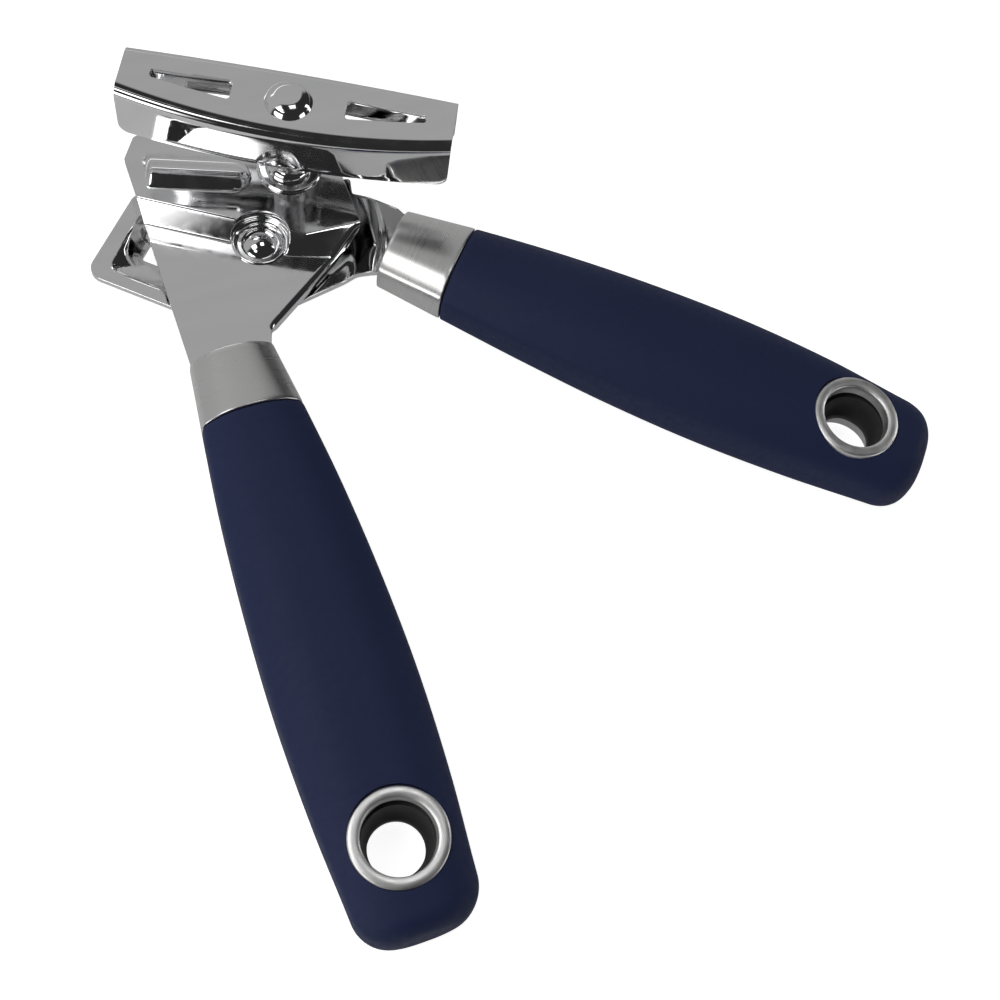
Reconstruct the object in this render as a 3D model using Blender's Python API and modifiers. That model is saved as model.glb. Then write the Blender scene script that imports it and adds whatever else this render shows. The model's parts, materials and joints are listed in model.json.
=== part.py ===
"""Manual can opener with two cushioned handles, a butterfly key, gears, feed wheel and cutter wheel.

The opener lies flat with its key up. The front lever is the one the key turns in. The rear lever swings
about the pivot rivet, and everything on it is built in the closed direction and then turned open.
Lengths are in metres. Plans are measured from the pivot axis and heights from the table.
"""

import math

import bmesh
import bpy
from mathutils import Matrix, Vector

MM = 0.001
GAP = 0.3 * MM

# Handles. Distances run from the pivot along the handle, and both handles share them.
OPEN_ANGLE = math.radians(48.6)
CLOSED_ANGLE = math.radians(2.2)
FRONT_OFFSET = -15.9 * MM
REAR_OFFSET = 13.1 * MM
FERRULE_START = 30.1 * MM
GRIP_START = 47.8 * MM
RING_AT = 152.4 * MM
GRIP_END = 172.0 * MM
END_CORNER = 8.2 * MM
END_EDGE = 4.0 * MM
SIDE_BULGE = 0.35 * MM
FERRULE_WALL = 1.1 * MM
CORE_END = 104.0 * MM
CORE_WIDTH = 17.0 * MM
CORE_HEIGHT = 8.4 * MM

# Rows of distance, half width, upper crease, lower crease and crown height along a handle, in millimetres.
HANDLE_ROWS = (
    (30.1, 10.0, 17.8, 10.8, 3.8),
    (47.8, 12.0, 18.5, 10.2, 4.3),
    (70.0, 14.2, 18.6, 9.0, 4.8),
    (94.0, 15.6, 18.4, 7.1, 4.8),
    (118.0, 16.1, 17.6, 5.8, 4.7),
    (142.0, 15.3, 16.0, 4.9, 4.5),
    (162.0, 13.8, 13.7, 4.4, 4.2),
    (172.0, 13.2, 12.6, 4.3, 4.0),
)

# Eyelets at the handle ends.
RING_RADIUS = 10.9 * MM
RING_BORE = 8.1 * MM
RING_WALL = 0.9 * MM
RING_SKIRT = 2.2 * MM
RING_BARREL = 3.2 * MM
RING_TILT = math.radians(5.0)
RING_TOP = 18.9 * MM
RING_BOTTOM = 0.35 * MM
LINER_STEP = 6.3 * MM
LINER_RADIUS = 9.3 * MM

# Sheet parts.
SHEET = 1.5 * MM
FRONT_LOW = 15.6 * MM
FRONT_HIGH = 18.5 * MM
JOGGLE_ANGLE = math.radians(-31.0)
JOGGLE_START = -2.1 * MM
JOGGLE_END = 3.1 * MM
LIP_DEPTH = 2.5 * MM
REAR_SHEET = 1.6 * MM
REAR_TOP = 11.3 * MM
NECK_TOP = 15.4 * MM
NECK_START = 25.3 * MM
NECK_END = 29.6 * MM
TANG_END = 66.0 * MM
TANG_HALF = 7.2 * MM
FUNNEL_DEPTH = 3.0 * MM

# Pivot rivet.
PIVOT_SHANK = 3.0 * MM
DISH_RIM = 7.2 * MM
DISH_FLOOR = 5.6 * MM
DISH_DEPTH = 1.6 * MM
BOSS_RADIUS = 11.0 * MM
BOSS_SHEET = 2.9 * MM

# Drive: key, shaft, gear and feed wheel on one axis.
SHAFT = Vector((13.0, 17.5)) * MM
SHAFT_RADIUS = 3.0 * MM
STUD = Vector((-1.6, 15.0)) * MM
STUD_SHANK = 2.5 * MM
TEETH = 12
GEAR_TIP = 8.45 * MM
GEAR_ROOT = 6.75 * MM
GEAR_TOP = 9.3 * MM
GEAR_THICKNESS = 2.1 * MM
SERRATIONS = 24
FEED_TIP = 8.3 * MM
FEED_ROOT = 7.5 * MM
FEED_TOP = 6.9 * MM
FEED_BOTTOM = 3.0 * MM
FEED_RECESS = 0.8 * MM
CUTTER_RADIUS = 7.9 * MM
CUTTER_TOP = 2.6 * MM
CUTTER_BOTTOM = 1.3 * MM

# Key handle.
KEY_ANGLE = math.radians(-27.4)
KEY_HALF_LENGTH = 40.0 * MM
KEY_MID_HALF = 10.4 * MM
KEY_END_HALF = 7.5 * MM
KEY_MID_TOP = 43.8 * MM
KEY_END_RISE = 2.5 * MM
KEY_MID_BOTTOM = 31.6 * MM
KEY_BOTTOM_RISE = 0.4 * MM
KEY_BEND = 3.0 * MM
KEY_SHEET = 1.2 * MM
KEY_CORNER = 2.6 * MM
HEAD_RADIUS = 5.8 * MM
HEAD_FLAT = 3.2 * MM
HEAD_HEIGHT = 2.1 * MM
SLOT_INNER = 13.8 * MM
SLOT_OUTER = 33.0 * MM

NAVY = (0.020, 0.026, 0.068)
SATIN = (0.56, 0.55, 0.54)
CHROME = (0.62, 0.62, 0.63)
PLASTIC = (0.012, 0.012, 0.014)
DARK_GREY = (0.045, 0.045, 0.048)


def clear_scene():
    for obj in list(bpy.data.objects):
        bpy.data.objects.remove(obj, do_unlink=True)


def new_collection(name):
    collection = bpy.data.collections.new(name)
    bpy.context.scene.collection.children.link(collection)
    return collection


def material(name, colour, roughness, metallic):
    made = bpy.data.materials.new(name)
    made.use_nodes = True
    shader = made.node_tree.nodes["Principled BSDF"]
    shader.inputs["Base Color"].default_value = (*colour, 1.0)
    shader.inputs["Roughness"].default_value = roughness
    shader.inputs["Metallic"].default_value = metallic
    return made


def mesh_object(name, bm):
    bmesh.ops.recalc_face_normals(bm, faces=bm.faces)
    mesh = bpy.data.meshes.new(name)
    bm.to_mesh(mesh)
    bm.free()
    return bpy.data.objects.new(name, mesh)


def arc(centre, radius, start, end, steps):
    angles = (start + (end - start) * i / steps for i in range(steps + 1))
    return [(centre[0] + radius * math.cos(a), centre[1] + radius * math.sin(a)) for a in angles]


def rounded(corners, steps=4):
    """The outline through corners (x, y, radius), with an arc in place of each corner that has a radius."""
    outline = []
    for i, (x, y, radius) in enumerate(corners):
        here = Vector((x, y))
        if not radius:
            outline.append((x, y))
            continue
        before = (Vector(corners[i - 1][:2]) - here).normalized()
        after = (Vector(corners[(i + 1) % len(corners)][:2]) - here).normalized()
        half = before.angle(after) / 2
        centre = here + (before + after).normalized() * radius / math.sin(half)
        first = here + before * radius / math.tan(half) - centre
        turn = first.angle_signed(here + after * radius / math.tan(half) - centre)
        start = math.atan2(first.y, first.x)
        outline += arc(centre, radius, start, start - turn, steps)
    return outline


def scaled(corners):
    return [(x * MM, y * MM, radius * MM) for x, y, radius in corners]


def filled_mesh(outline, thickness):
    """A bmesh of the filled outline, from z = 0 up to the thickness, or a single layer if that is zero."""
    curve = bpy.data.curves.new("outline", "CURVE")
    curve.dimensions = "2D"
    curve.fill_mode = "BOTH"
    curve.extrude = thickness / 2
    spline = curve.splines.new("POLY")
    spline.points.add(len(outline) - 1)
    for point, (x, y) in zip(spline.points, outline):
        point.co = (x, y, 0, 1)
    spline.use_cyclic_u = True
    obj = bpy.data.objects.new("outline", curve)
    bpy.context.scene.collection.objects.link(obj)
    graph = bpy.context.evaluated_depsgraph_get()
    mesh = bpy.data.meshes.new_from_object(obj.evaluated_get(graph))
    bm = bmesh.new()
    bm.from_mesh(mesh)
    bmesh.ops.remove_doubles(bm, verts=bm.verts, dist=1e-6)
    bmesh.ops.translate(bm, verts=bm.verts, vec=(0, 0, thickness / 2))
    bpy.data.objects.remove(obj, do_unlink=True)
    bpy.data.meshes.remove(mesh)
    return bm


def prism(name, outline, bottom, top):
    bm = filled_mesh(outline, top - bottom)
    bmesh.ops.translate(bm, verts=bm.verts, vec=(0, 0, bottom))
    return mesh_object(name, bm)


def pressed_sheet(name, outline, cuts, height, thickness):
    """A sheet bent to height(x, y) at its upper side, and cut along each (distance, angle) line."""
    bm = filled_mesh(outline, 0)
    bmesh.ops.dissolve_limit(bm, angle_limit=0.01, verts=bm.verts, edges=bm.edges)
    for distance, angle in cuts:
        normal = Vector((math.cos(angle), math.sin(angle), 0))
        everything = bm.verts[:] + bm.edges[:] + bm.faces[:]
        bmesh.ops.bisect_plane(bm, geom=everything, plane_co=normal * distance, plane_no=normal, dist=1e-7)
    bmesh.ops.triangulate(bm, faces=bm.faces)
    made = bmesh.ops.extrude_face_region(bm, geom=bm.faces[:])
    lower = {v for v in made["geom"] if isinstance(v, bmesh.types.BMVert)}
    for vert in bm.verts:
        vert.co.z = height(vert.co.x, vert.co.y) - (thickness if vert in lower else 0)
    return mesh_object(name, bm)


def turned(name, profile, steps=32):
    """A piece turned about +Z. The profile lists (radius, z) down its outer side, then back up any bore."""
    bm = bmesh.new()
    verts = [bm.verts.new((radius, 0, z)) for radius, z in profile]
    for first, second in zip(verts, verts[1:]):
        bm.edges.new((first, second))
    if profile[0][0] and profile[-1][0]:
        bm.edges.new((verts[-1], verts[0]))
    mesh = bpy.data.meshes.new(name)
    bm.to_mesh(mesh)
    bm.free()
    obj = bpy.data.objects.new(name, mesh)
    screw = obj.modifiers.new("turn", "SCREW")
    screw.steps = screw.render_steps = steps
    screw.use_merge_vertices = True
    screw.merge_threshold = 0.00001
    screw.use_normal_calculate = True
    return settled(obj)


def settled(obj):
    """The object with its modifiers made into its mesh."""
    bpy.context.scene.collection.objects.link(obj)
    graph = bpy.context.evaluated_depsgraph_get()
    mesh = bpy.data.meshes.new_from_object(obj.evaluated_get(graph))
    bm = bmesh.new()
    bm.from_mesh(mesh)
    bmesh.ops.remove_doubles(bm, verts=bm.verts, dist=1e-6)
    bmesh.ops.recalc_face_normals(bm, faces=bm.faces)
    bm.to_mesh(mesh)
    bm.free()
    obj.modifiers.clear()
    obj.data = mesh
    bpy.context.scene.collection.objects.unlink(obj)
    return obj


def moved(obj, matrix):
    obj.data.transform(matrix)
    return obj


def lofted(name, sections):
    """A closed skin through sections that are rings of the same number of points, with flat end caps."""
    bm = bmesh.new()
    rings = [[bm.verts.new(point) for point in section] for section in sections]
    for lower, upper in zip(rings, rings[1:]):
        for i in range(len(lower)):
            bm.faces.new((lower[i - 1], lower[i], upper[i], upper[i - 1]))
    bm.faces.new(rings[0])
    bm.faces.new(reversed(rings[-1]))
    return mesh_object(name, bm)


def combined(obj, others, operation):
    """The object after a Boolean with each of the others, which go to the cutters' collection."""
    for other in others:
        other.hide_render = True
        other.display_type = "WIRE"
        cutters.objects.link(other)
        step = obj.modifiers.new(other.name, "BOOLEAN")
        step.operation = operation
        step.solver = "EXACT"
        step.object = other
    return settled(obj)


def cut(obj, *others):
    return combined(obj, others, "DIFFERENCE")


def joined(obj, *others):
    return combined(obj, others, "UNION")


def finish(obj, look, angle=35.0):
    obj.data.materials.clear()
    obj.data.materials.append(look)
    obj.data.shade_smooth()
    obj.data.set_sharp_from_angle(angle=math.radians(angle))
    parts.objects.link(obj)
    return obj


def spun(angle):
    return Matrix.Rotation(angle, 4, "Z")


def shifted(x, y, z=0.0):
    return Matrix.Translation((x, y, z))


# Handles


def row_at(distance):
    """Half width, upper crease, lower crease and crown of a handle at this distance, on a smooth curve."""
    rows = [tuple(value * MM for value in row) for row in HANDLE_ROWS]
    i = max(1, min(len(rows) - 2, sum(row[0] <= distance for row in rows) - 1))
    if distance < rows[1][0]:
        share = (distance - rows[0][0]) / (rows[1][0] - rows[0][0])
        return [a + (b - a) * share for a, b in zip(rows[0][1:], rows[1][1:])]
    near = rows[i]
    far = rows[i + 1]
    share = (distance - near[0]) / (far[0] - near[0])
    values = []
    for k in range(1, 5):
        before = (far[k] - rows[i - 1][k]) / (far[0] - rows[i - 1][0])
        after = (rows[min(i + 2, len(rows) - 1)][k] - near[k]) / (
            rows[min(i + 2, len(rows) - 1)][0] - near[0]
        )
        span = far[0] - near[0]
        values.append(
            near[k] * (1 - share) ** 2 * (1 + 2 * share)
            + far[k] * share**2 * (3 - 2 * share)
            + before * span * share * (1 - share) ** 2
            - after * span * share**2 * (1 - share)
        )
    return values


def handle_section(distance, inset=0.0, steps=8):
    """The ring of points round a handle at this distance: two upright sides between crowned faces."""
    half, upper, lower, crown = row_at(distance)
    past_corner = max(0.0, distance - (GRIP_END - END_CORNER))
    half -= END_CORNER - math.sqrt(END_CORNER**2 - min(past_corner, END_CORNER) ** 2)
    past_edge = min(END_EDGE, max(0.0, distance - (GRIP_END - END_EDGE)))
    shrink = END_EDGE - math.sqrt(END_EDGE**2 - past_edge**2)
    half -= inset
    power = 2.4 + 0.8 * min(1.0, distance / RING_AT)
    across = [-math.cos(math.pi * i / steps) for i in range(steps + 1)]
    middle = (upper + lower) / 2
    side = max((upper - lower) / 2 - shrink * 0.6, 0.5 * MM)
    crown -= inset + shrink * 0.4
    top = [(half * u, -distance, middle + side + crown * (1 - abs(u) ** power)) for u in across]
    bottom = [(half * u, -distance, middle - side - crown * (1 - abs(u) ** power)) for u in reversed(across)]
    waist = half + SIDE_BULGE
    return top + [(waist, -distance, middle)] + bottom + [(-waist, -distance, middle)]


def handle_length(name, distances, inset=0.0):
    return lofted(name, [handle_section(distance, inset) for distance in distances])


def between(start, end, steps):
    return [start + (end - start) * i / steps for i in range(steps + 1)]


def ferrule(side):
    outer = handle_length(side + "_ferrule", between(FERRULE_START, GRIP_START - GAP / 2, 3))
    inner = between(FERRULE_START - 2 * MM, GRIP_START + 2 * MM, 3)
    return cut(outer, handle_length(side + "_ferrule_bore", inner, FERRULE_WALL))


def core_prism(name, start, end, grow=0.0):
    half = CORE_WIDTH / 2 + grow
    outline = rounded([(-half, -end, 2 * MM), (half, -end, 2 * MM), (half, -start, 0), (-half, -start, 0)])
    middle = core_height()
    return prism(name, outline, middle - CORE_HEIGHT / 2 - grow, middle + CORE_HEIGHT / 2 + grow)


def core_height():
    return FRONT_LOW - SHEET / 2 - 0.2 * MM


def core(side, tang_top, tang_sheet):
    plug = handle_length(side + "_core", between(FERRULE_START + 1 * MM, GRIP_START, 3), FERRULE_WALL + GAP)
    body = joined(plug, core_prism(side + "_core_bar", GRIP_START - 6 * MM, CORE_END))
    half = TANG_HALF + GAP
    slot = [(-half, -TANG_END - GAP), (half, -TANG_END - GAP), (half, 0), (-half, 0)]
    top = tang_top + GAP
    return cut(body, prism(side + "_tang_slot", slot, tang_top - tang_sheet - GAP, top))


def eyelet_cutter(name):
    """The hole for an eyelet, with a wider pocket for its ring at each face."""
    hole = LINER_RADIUS + GAP
    pocket = RING_RADIUS + GAP
    upper = turned(
        name + "_pocket",
        [(0, 30 * MM), (pocket, 30 * MM), (pocket, -RING_SKIRT - GAP), (0, -RING_SKIRT - GAP)],
    )
    moved(upper, shifted(0, -RING_AT, RING_TOP) @ Matrix.Rotation(RING_TILT, 4, "X"))
    floor = RING_BOTTOM + RING_SKIRT + GAP
    lower = turned(
        name + "_foot",
        [(0, 25 * MM), (hole, 25 * MM), (hole, floor), (pocket, floor), (pocket, -5 * MM), (0, -5 * MM)],
    )
    moved(lower, shifted(0, -RING_AT))
    return upper, lower


def grip(side):
    bend = [
        GRIP_END - END_CORNER + END_CORNER * math.sin(math.radians(a)) for a in (0, 25, 45, 62, 76, 86, 90)
    ]
    body = handle_length(side + "_grip", between(GRIP_START + GAP / 2, GRIP_END - END_CORNER, 11)[:-1] + bend)
    room = core_prism(side + "_core_room", GRIP_START - 2 * MM, CORE_END + GAP, GAP)
    return cut(body, room, *eyelet_cutter(side + "_eyelet"))


def eyelet_ring(name):
    """A rolled ring with its flat at z = 0, its skirt outside and a short barrel down the hole."""
    edge = 0.5 * MM
    profile = [(RING_BORE + edge, 0), (RING_RADIUS - 1.4 * edge, 0), (RING_RADIUS, -1.4 * edge)]
    profile += [(RING_RADIUS, -RING_SKIRT), (RING_RADIUS - RING_WALL, -RING_SKIRT)]
    profile += [(RING_RADIUS - RING_WALL, -RING_WALL), (RING_BORE + RING_WALL, -RING_WALL)]
    profile += [(RING_BORE + RING_WALL, -RING_BARREL), (RING_BORE, -RING_BARREL), (RING_BORE, -edge)]
    return turned(name, profile, 28)


def ring_top(side):
    place = shifted(0, -RING_AT, RING_TOP) @ Matrix.Rotation(RING_TILT, 4, "X")
    return moved(eyelet_ring(side + "_ring_top"), place)


def ring_bottom(side):
    place = shifted(0, -RING_AT, RING_BOTTOM) @ Matrix.Rotation(math.pi, 4, "X")
    return moved(eyelet_ring(side + "_ring_bottom"), place)


def hole_liner(side):
    """The sleeve between the two rings, with a ledge half way down its bore."""
    top = RING_TOP - RING_BARREL - RING_BORE * math.sin(RING_TILT) - 2 * GAP
    bottom = RING_BOTTOM + RING_BARREL + GAP
    ledge = (top + bottom) / 2
    wide = RING_BORE
    profile = [
        (wide, top), (LINER_RADIUS, top), (LINER_RADIUS, bottom), (wide, bottom), (wide, bottom + 1.5 * MM)
    ]
    profile += [
        (LINER_STEP, bottom + 2.5 * MM), (LINER_STEP, ledge - 0.5 * MM), (LINER_STEP + 0.5 * MM, ledge)
    ]
    profile += [(wide, ledge)]
    return moved(turned(side + "_hole_liner", profile, 28), shifted(0, -RING_AT))


# Levers


def joggle_height(x, y):
    along = x * -math.sin(JOGGLE_ANGLE) + y * math.cos(JOGGLE_ANGLE)
    share = min(1.0, max(0.0, (along - JOGGLE_START) / (JOGGLE_END - JOGGLE_START)))
    return FRONT_LOW + (FRONT_HIGH - FRONT_LOW) * share


def joggle_cuts():
    angle = JOGGLE_ANGLE + math.pi / 2
    return [(JOGGLE_START, angle), (JOGGLE_END, angle)]


def front_outline():
    mouth = (FERRULE_START - GAP) / MM
    left = FRONT_OFFSET / MM
    tang = TANG_HALF / MM
    end = TANG_END / MM
    corners = [
        (-25.6, 31.2, 1.5), (-21.6, 37.5, 1.5), (12.0, 37.5, 2.5), (25.0, 24.0, 2.5), (25.1, -3.4, 1.5)
    ]
    corners += [
        (-4.6, -25.2, 2.5), (-5.9, 0.3 - mouth, 0), (left + tang, -mouth, 0), (left + tang, -end, 2.0)
    ]
    corners += [(left - tang, -end, 2.0), (left - tang, -mouth, 0), (-26.0, 0.3 - mouth, 0), (-25.6, 12.0, 0)]
    return rounded(scaled(corners))


def lip_height(x, y):
    return joggle_height(x, y) - 0.15 * MM


def front_lip():
    """The strip along the slanting edge, bent down over the neck of the other lever."""
    start = Vector((24.13, -4.11)) * MM
    end = Vector((-3.43, -24.36)) * MM
    along = (end - start).normalized()
    outward = Vector((-along.y, along.x))
    outer = outward * 0.35 * MM
    inner = outward * -1.15 * MM
    strip = [start + outer, end + outer, end + inner, start + inner]
    return pressed_sheet("front_lip", strip, joggle_cuts(), lip_height, LIP_DEPTH)


def boss_height(x, y):
    return joggle_height(x, y) - 0.1 * MM


def pivot_boss():
    """Thicker metal round the pivot, which leads from the raised side of the plate down to the pad."""
    boss = pressed_sheet("pivot_boss", front_outline(), joggle_cuts(), boss_height, BOSS_SHEET)
    circle = arc((0, 0), BOSS_RADIUS, 0, 2 * math.pi, 32)[:-1]
    return combined(boss, [prism("boss_circle", circle, 0, 30 * MM)], "INTERSECT")


def boss_room():
    """The steep round wall that the raised side of the plate makes at the pad's rim."""
    low = DISH_RIM + 1.1 * MM
    floor = FRONT_LOW + 0.5 * MM
    profile = [
        (0, 25 * MM),
        (low + 1.5 * MM, 25 * MM),
        (low + 0.8 * MM, FRONT_HIGH + 0.1 * MM),
        (low, floor),
        (0, floor),
    ]
    return turned("boss_room", profile, 40)


def pivot_pad():
    """The round pad at the pivot, with the bright rim that stands round its dish."""
    rim = FRONT_LOW + 0.7 * MM
    floor = FRONT_LOW - DISH_DEPTH - SHEET
    profile = [(0, rim), (DISH_RIM + 0.4 * MM, rim), (DISH_RIM + 1.1 * MM, FRONT_LOW - 0.2 * MM)]
    profile += [(DISH_RIM + 1.1 * MM, FRONT_LOW - 1.0 * MM), (DISH_RIM + 0.2 * MM, FRONT_LOW - 2.0 * MM)]
    return turned("pivot_pad", profile + [(DISH_FLOOR + 1 * MM, floor), (0, floor)], 40)


def pivot_dish():
    floor = FRONT_LOW - DISH_DEPTH
    rim = FRONT_LOW + 0.7 * MM
    profile = [
        (0, rim + MM),
        (DISH_RIM, rim + MM),
        (DISH_RIM - 0.2 * MM, rim - 0.1 * MM),
        (DISH_FLOOR, floor),
        (0, floor),
    ]
    return turned("pivot_dish", profile, 40)


def bead():
    """The half-round rib pressed up beside the bushing, with a square end toward the plate's edge."""
    start = Vector((-21.9, 25.9)) * MM
    end = Vector((0.4, 18.4)) * MM
    along = (end - start).normalized()
    half = 4.7 * MM
    height = 1.7 * MM
    steps = 8
    sections = []
    length = (end - start).length
    for distance, scale in ((0, 1), (length, 1), (length + 2.0 * MM, 0.85), (length + 3.4 * MM, 0.5)):
        ring = []
        for i in range(steps + 1):
            angle = math.pi * i / steps
            across = half * scale * math.cos(angle)
            rise = height * scale * math.sin(angle)
            ring.append((distance, across, FRONT_HIGH + rise - 0.1 * MM))
        ring.append((distance, -half * scale, FRONT_HIGH - 1.0 * MM))
        ring.append((distance, half * scale, FRONT_HIGH - 1.0 * MM))
        sections.append(ring)
    turn = math.atan2(along.y, along.x)
    return moved(lofted("front_bead", sections), shifted(*start) @ spun(turn))


def drill(name, place, radius):
    return moved(
        turned(name, [(0, 60 * MM), (radius, 60 * MM), (radius, -10 * MM), (0, -10 * MM)], 32),
        shifted(*place),
    )


def front_plate():
    plate = pressed_sheet("front_plate", front_outline(), joggle_cuts(), joggle_height, SHEET)
    plate = joined(plate, front_lip(), bead())
    plate = cut(joined(plate, pivot_boss()), boss_room(), drill("pad_room", (0, 0), DISH_RIM - 0.5 * MM))
    plate = joined(plate, pivot_pad())
    holes = drill("pivot_hole", (0, 0), PIVOT_SHANK + GAP), drill("bushing_hole", SHAFT, 4.9 * MM)
    return cut(plate, pivot_dish(), *holes)


def neck_height(x, y):
    """The rear plate is flat as far as the front plate's lip reaches, then rises to the ferrule."""
    share = 0.0
    if y < 0 and x > 0:
        share = min(1.0, max(0.0, (math.hypot(x, y) - NECK_START) / (NECK_END - NECK_START)))
    edge = min(1.0, max(0.0, (abs(x - REAR_OFFSET) - 5 * MM) / (5 * MM)))
    return REAR_TOP + (NECK_TOP - REAR_TOP) * share + 0.9 * MM * share * edge**2


def rear_outline():
    mouth = (FERRULE_START - GAP) / MM
    middle = REAR_OFFSET / MM
    tang = TANG_HALF / MM
    end = TANG_END / MM
    corners = [
        (0.0, 35.8, 0), (-23.9, 35.8, 4.0), (-23.9, -4.0, 3.0), (3.6, -24.6, 2.5), (4.4, 0.3 - mouth, 0)
    ]
    corners += [(middle - tang, -mouth, 0), (middle - tang, -end, 2.0), (middle + tang, -end, 2.0)]
    corners += [(middle + tang, -mouth, 0), (22.9, 0.3 - mouth, 0), (24.1, -27.0, 0), (24.3, -14.4, 1.0)]
    corners += [(27.6, -12.4, 1.2), (26.5, -9.0, 1.2), (15.4, -5.2, 0)]
    past_shaft = arc((0, 0), 16.2 * MM, math.radians(-14), math.radians(62), 8)
    top_corner = rounded(scaled([(7.6, 14.3, 0), (4.0, 22.0, 0), (4.0, 35.8, 3.0), (0.0, 35.8, 0)]))
    return rounded(scaled(corners)) + past_shaft + top_corner[1:-1]


def opener_loops():
    """The rim and the hole of the bottle opener, as matching rounded outlines."""
    rim = rounded(scaled([(0.4, 31.3, 1.2), (-20.5, 31.3, 3.0), (-20.5, 6.1, 1.2)]), 5)
    hole = rounded(scaled([(-6.2, 26.7, 0.8), (-12.8, 26.7, 1.2), (-12.8, 18.8, 0.8)]), 5)
    return rim, hole


def opener_funnel():
    """The three sloping walls of the bottle opener, joined to the flat of the plate round their rim."""
    rim, hole = opener_loops()
    inner = 0.25 * MM
    centre = Vector((sum(p[0] for p in rim), sum(p[1] for p in rim))) / len(rim)
    grown = [tuple(Vector(p) + (Vector(p) - centre).normalized() * inner) for p in rim]
    rings = [[(x, y, REAR_TOP) for x, y in grown], [(x, y, REAR_TOP - 0.05 * MM) for x, y in rim]]
    rings.append([(x, y, REAR_TOP - FUNNEL_DEPTH) for x, y in hole])
    rings.append([(x, y, REAR_TOP - FUNNEL_DEPTH - REAR_SHEET) for x, y in hole])
    rings.append([(x, y, REAR_TOP - REAR_SHEET - 0.05 * MM) for x, y in rim])
    rings.append([(x, y, REAR_TOP - REAR_SHEET) for x, y in grown])
    bm = bmesh.new()
    loops = [[bm.verts.new(point) for point in ring] for ring in rings]
    for first, second in zip(loops, loops[1:] + loops[:1]):
        for i in range(len(first)):
            bm.faces.new((first[i - 1], first[i], second[i], second[i - 1]))
    return mesh_object("opener_funnel", bm)


def rear_plate():
    cuts = [
        (distance, math.radians(angle))
        for distance in (NECK_START, NECK_END)
        for angle in (-80, -62, -44, -26)
    ]
    cuts += [(REAR_OFFSET + side * width * MM, 0.0) for side in (-1, 1) for width in (5.0, 7.5)]
    plate = pressed_sheet("rear_plate", rear_outline(), cuts, neck_height, REAR_SHEET)
    rim, _ = opener_loops()
    plate = cut(plate, prism("opener_room", rim, 0, 30 * MM))
    plate = joined(plate, opener_funnel())
    return cut(
        plate,
        drill("rear_pivot_hole", (0, 0), PIVOT_SHANK + GAP),
        drill("stud_hole", STUD, STUD_SHANK + GAP),
    )


def pivot_rivet():
    """The domed rivet that holds the levers together, with its tail spread below the burr washer."""
    seat = FRONT_LOW - DISH_DEPTH + GAP
    tail = REAR_TOP - REAR_SHEET - 1.8 * MM
    dome = [
        (4.4 * MM * math.sin(math.radians(a)), seat + 3.4 * MM * math.cos(math.radians(a)))
        for a in range(0, 91, 15)
    ]
    profile = dome + [(PIVOT_SHANK, seat), (PIVOT_SHANK, tail), (4.2 * MM, tail), (3.9 * MM, tail - 1.1 * MM)]
    return turned("pivot_rivet", profile + [(0, tail - 1.3 * MM)], 28)


def washer(name, bore, radius, bottom, top):
    return turned(name, [(bore, top), (radius, top), (radius, bottom), (bore, bottom)], 32)


def key_bushing():
    """The flanged bearing of the shaft, standing on the front plate and reaching down past it."""
    seat = FRONT_HIGH + GAP
    profile = [(3.3 * MM, seat + 3.9 * MM), (4.6 * MM, seat + 3.9 * MM), (5.6 * MM, seat + 3.2 * MM)]
    profile += [
        (5.9 * MM, seat + 1.6 * MM),
        (7.4 * MM, seat + 1.3 * MM),
        (8.2 * MM, seat + 0.8 * MM),
        (8.2 * MM, seat),
    ]
    profile += [(4.6 * MM, seat), (4.6 * MM, 12.3 * MM), (3.3 * MM, 12.3 * MM)]
    return moved(turned("key_bushing", profile, 32), shifted(*SHAFT))


# Drive and cutter


def toothed_outline(tip, root, count, phase, flat):
    """An outline with this many straight-sided teeth, one of them centred on the phase angle."""
    pitch = 2 * math.pi / count
    outline = []
    for i in range(count):
        middle = phase + i * pitch
        for radius, share in ((root, -0.5 + flat), (tip, -flat * 0.8), (tip, flat * 0.8), (root, 0.5 - flat)):
            angle = middle + share * pitch
            outline.append((radius * math.cos(angle), radius * math.sin(angle)))
    return outline


def turned_by(point, angle):
    x = point.x * math.cos(angle) - point.y * math.sin(angle)
    y = point.x * math.sin(angle) + point.y * math.cos(angle)
    return Vector((x, y))


def mesh_angle():
    """The direction from the shaft to the stud when the handles are closed."""
    line = turned_by(STUD, CLOSED_ANGLE) - SHAFT
    return math.atan2(line.y, line.x)


def drive_gear():
    outline = toothed_outline(GEAR_TIP, GEAR_ROOT, TEETH, mesh_angle(), 0.16)
    gear = prism("drive_gear", outline, GEAR_TOP - GEAR_THICKNESS, GEAR_TOP)
    hub = turned(
        "drive_gear_hub",
        [(0, GEAR_TOP + MM), (4.2 * MM, GEAR_TOP + MM), (4.4 * MM, GEAR_TOP - MM), (0, GEAR_TOP - MM)],
    )
    gear = cut(joined(gear, hub), drill("drive_gear_bore", (0, 0), SHAFT_RADIUS + GAP))
    return moved(gear, shifted(*SHAFT))


def cutter_gear():
    phase = mesh_angle() + math.pi - CLOSED_ANGLE + math.pi / TEETH
    outline = toothed_outline(GEAR_TIP, GEAR_ROOT, TEETH, phase, 0.16)
    gear = prism("cutter_gear", outline, GEAR_TOP - GEAR_THICKNESS, GEAR_TOP)
    return moved(cut(gear, drill("cutter_gear_bore", (0, 0), STUD_SHANK + GAP)), shifted(*STUD))


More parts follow.
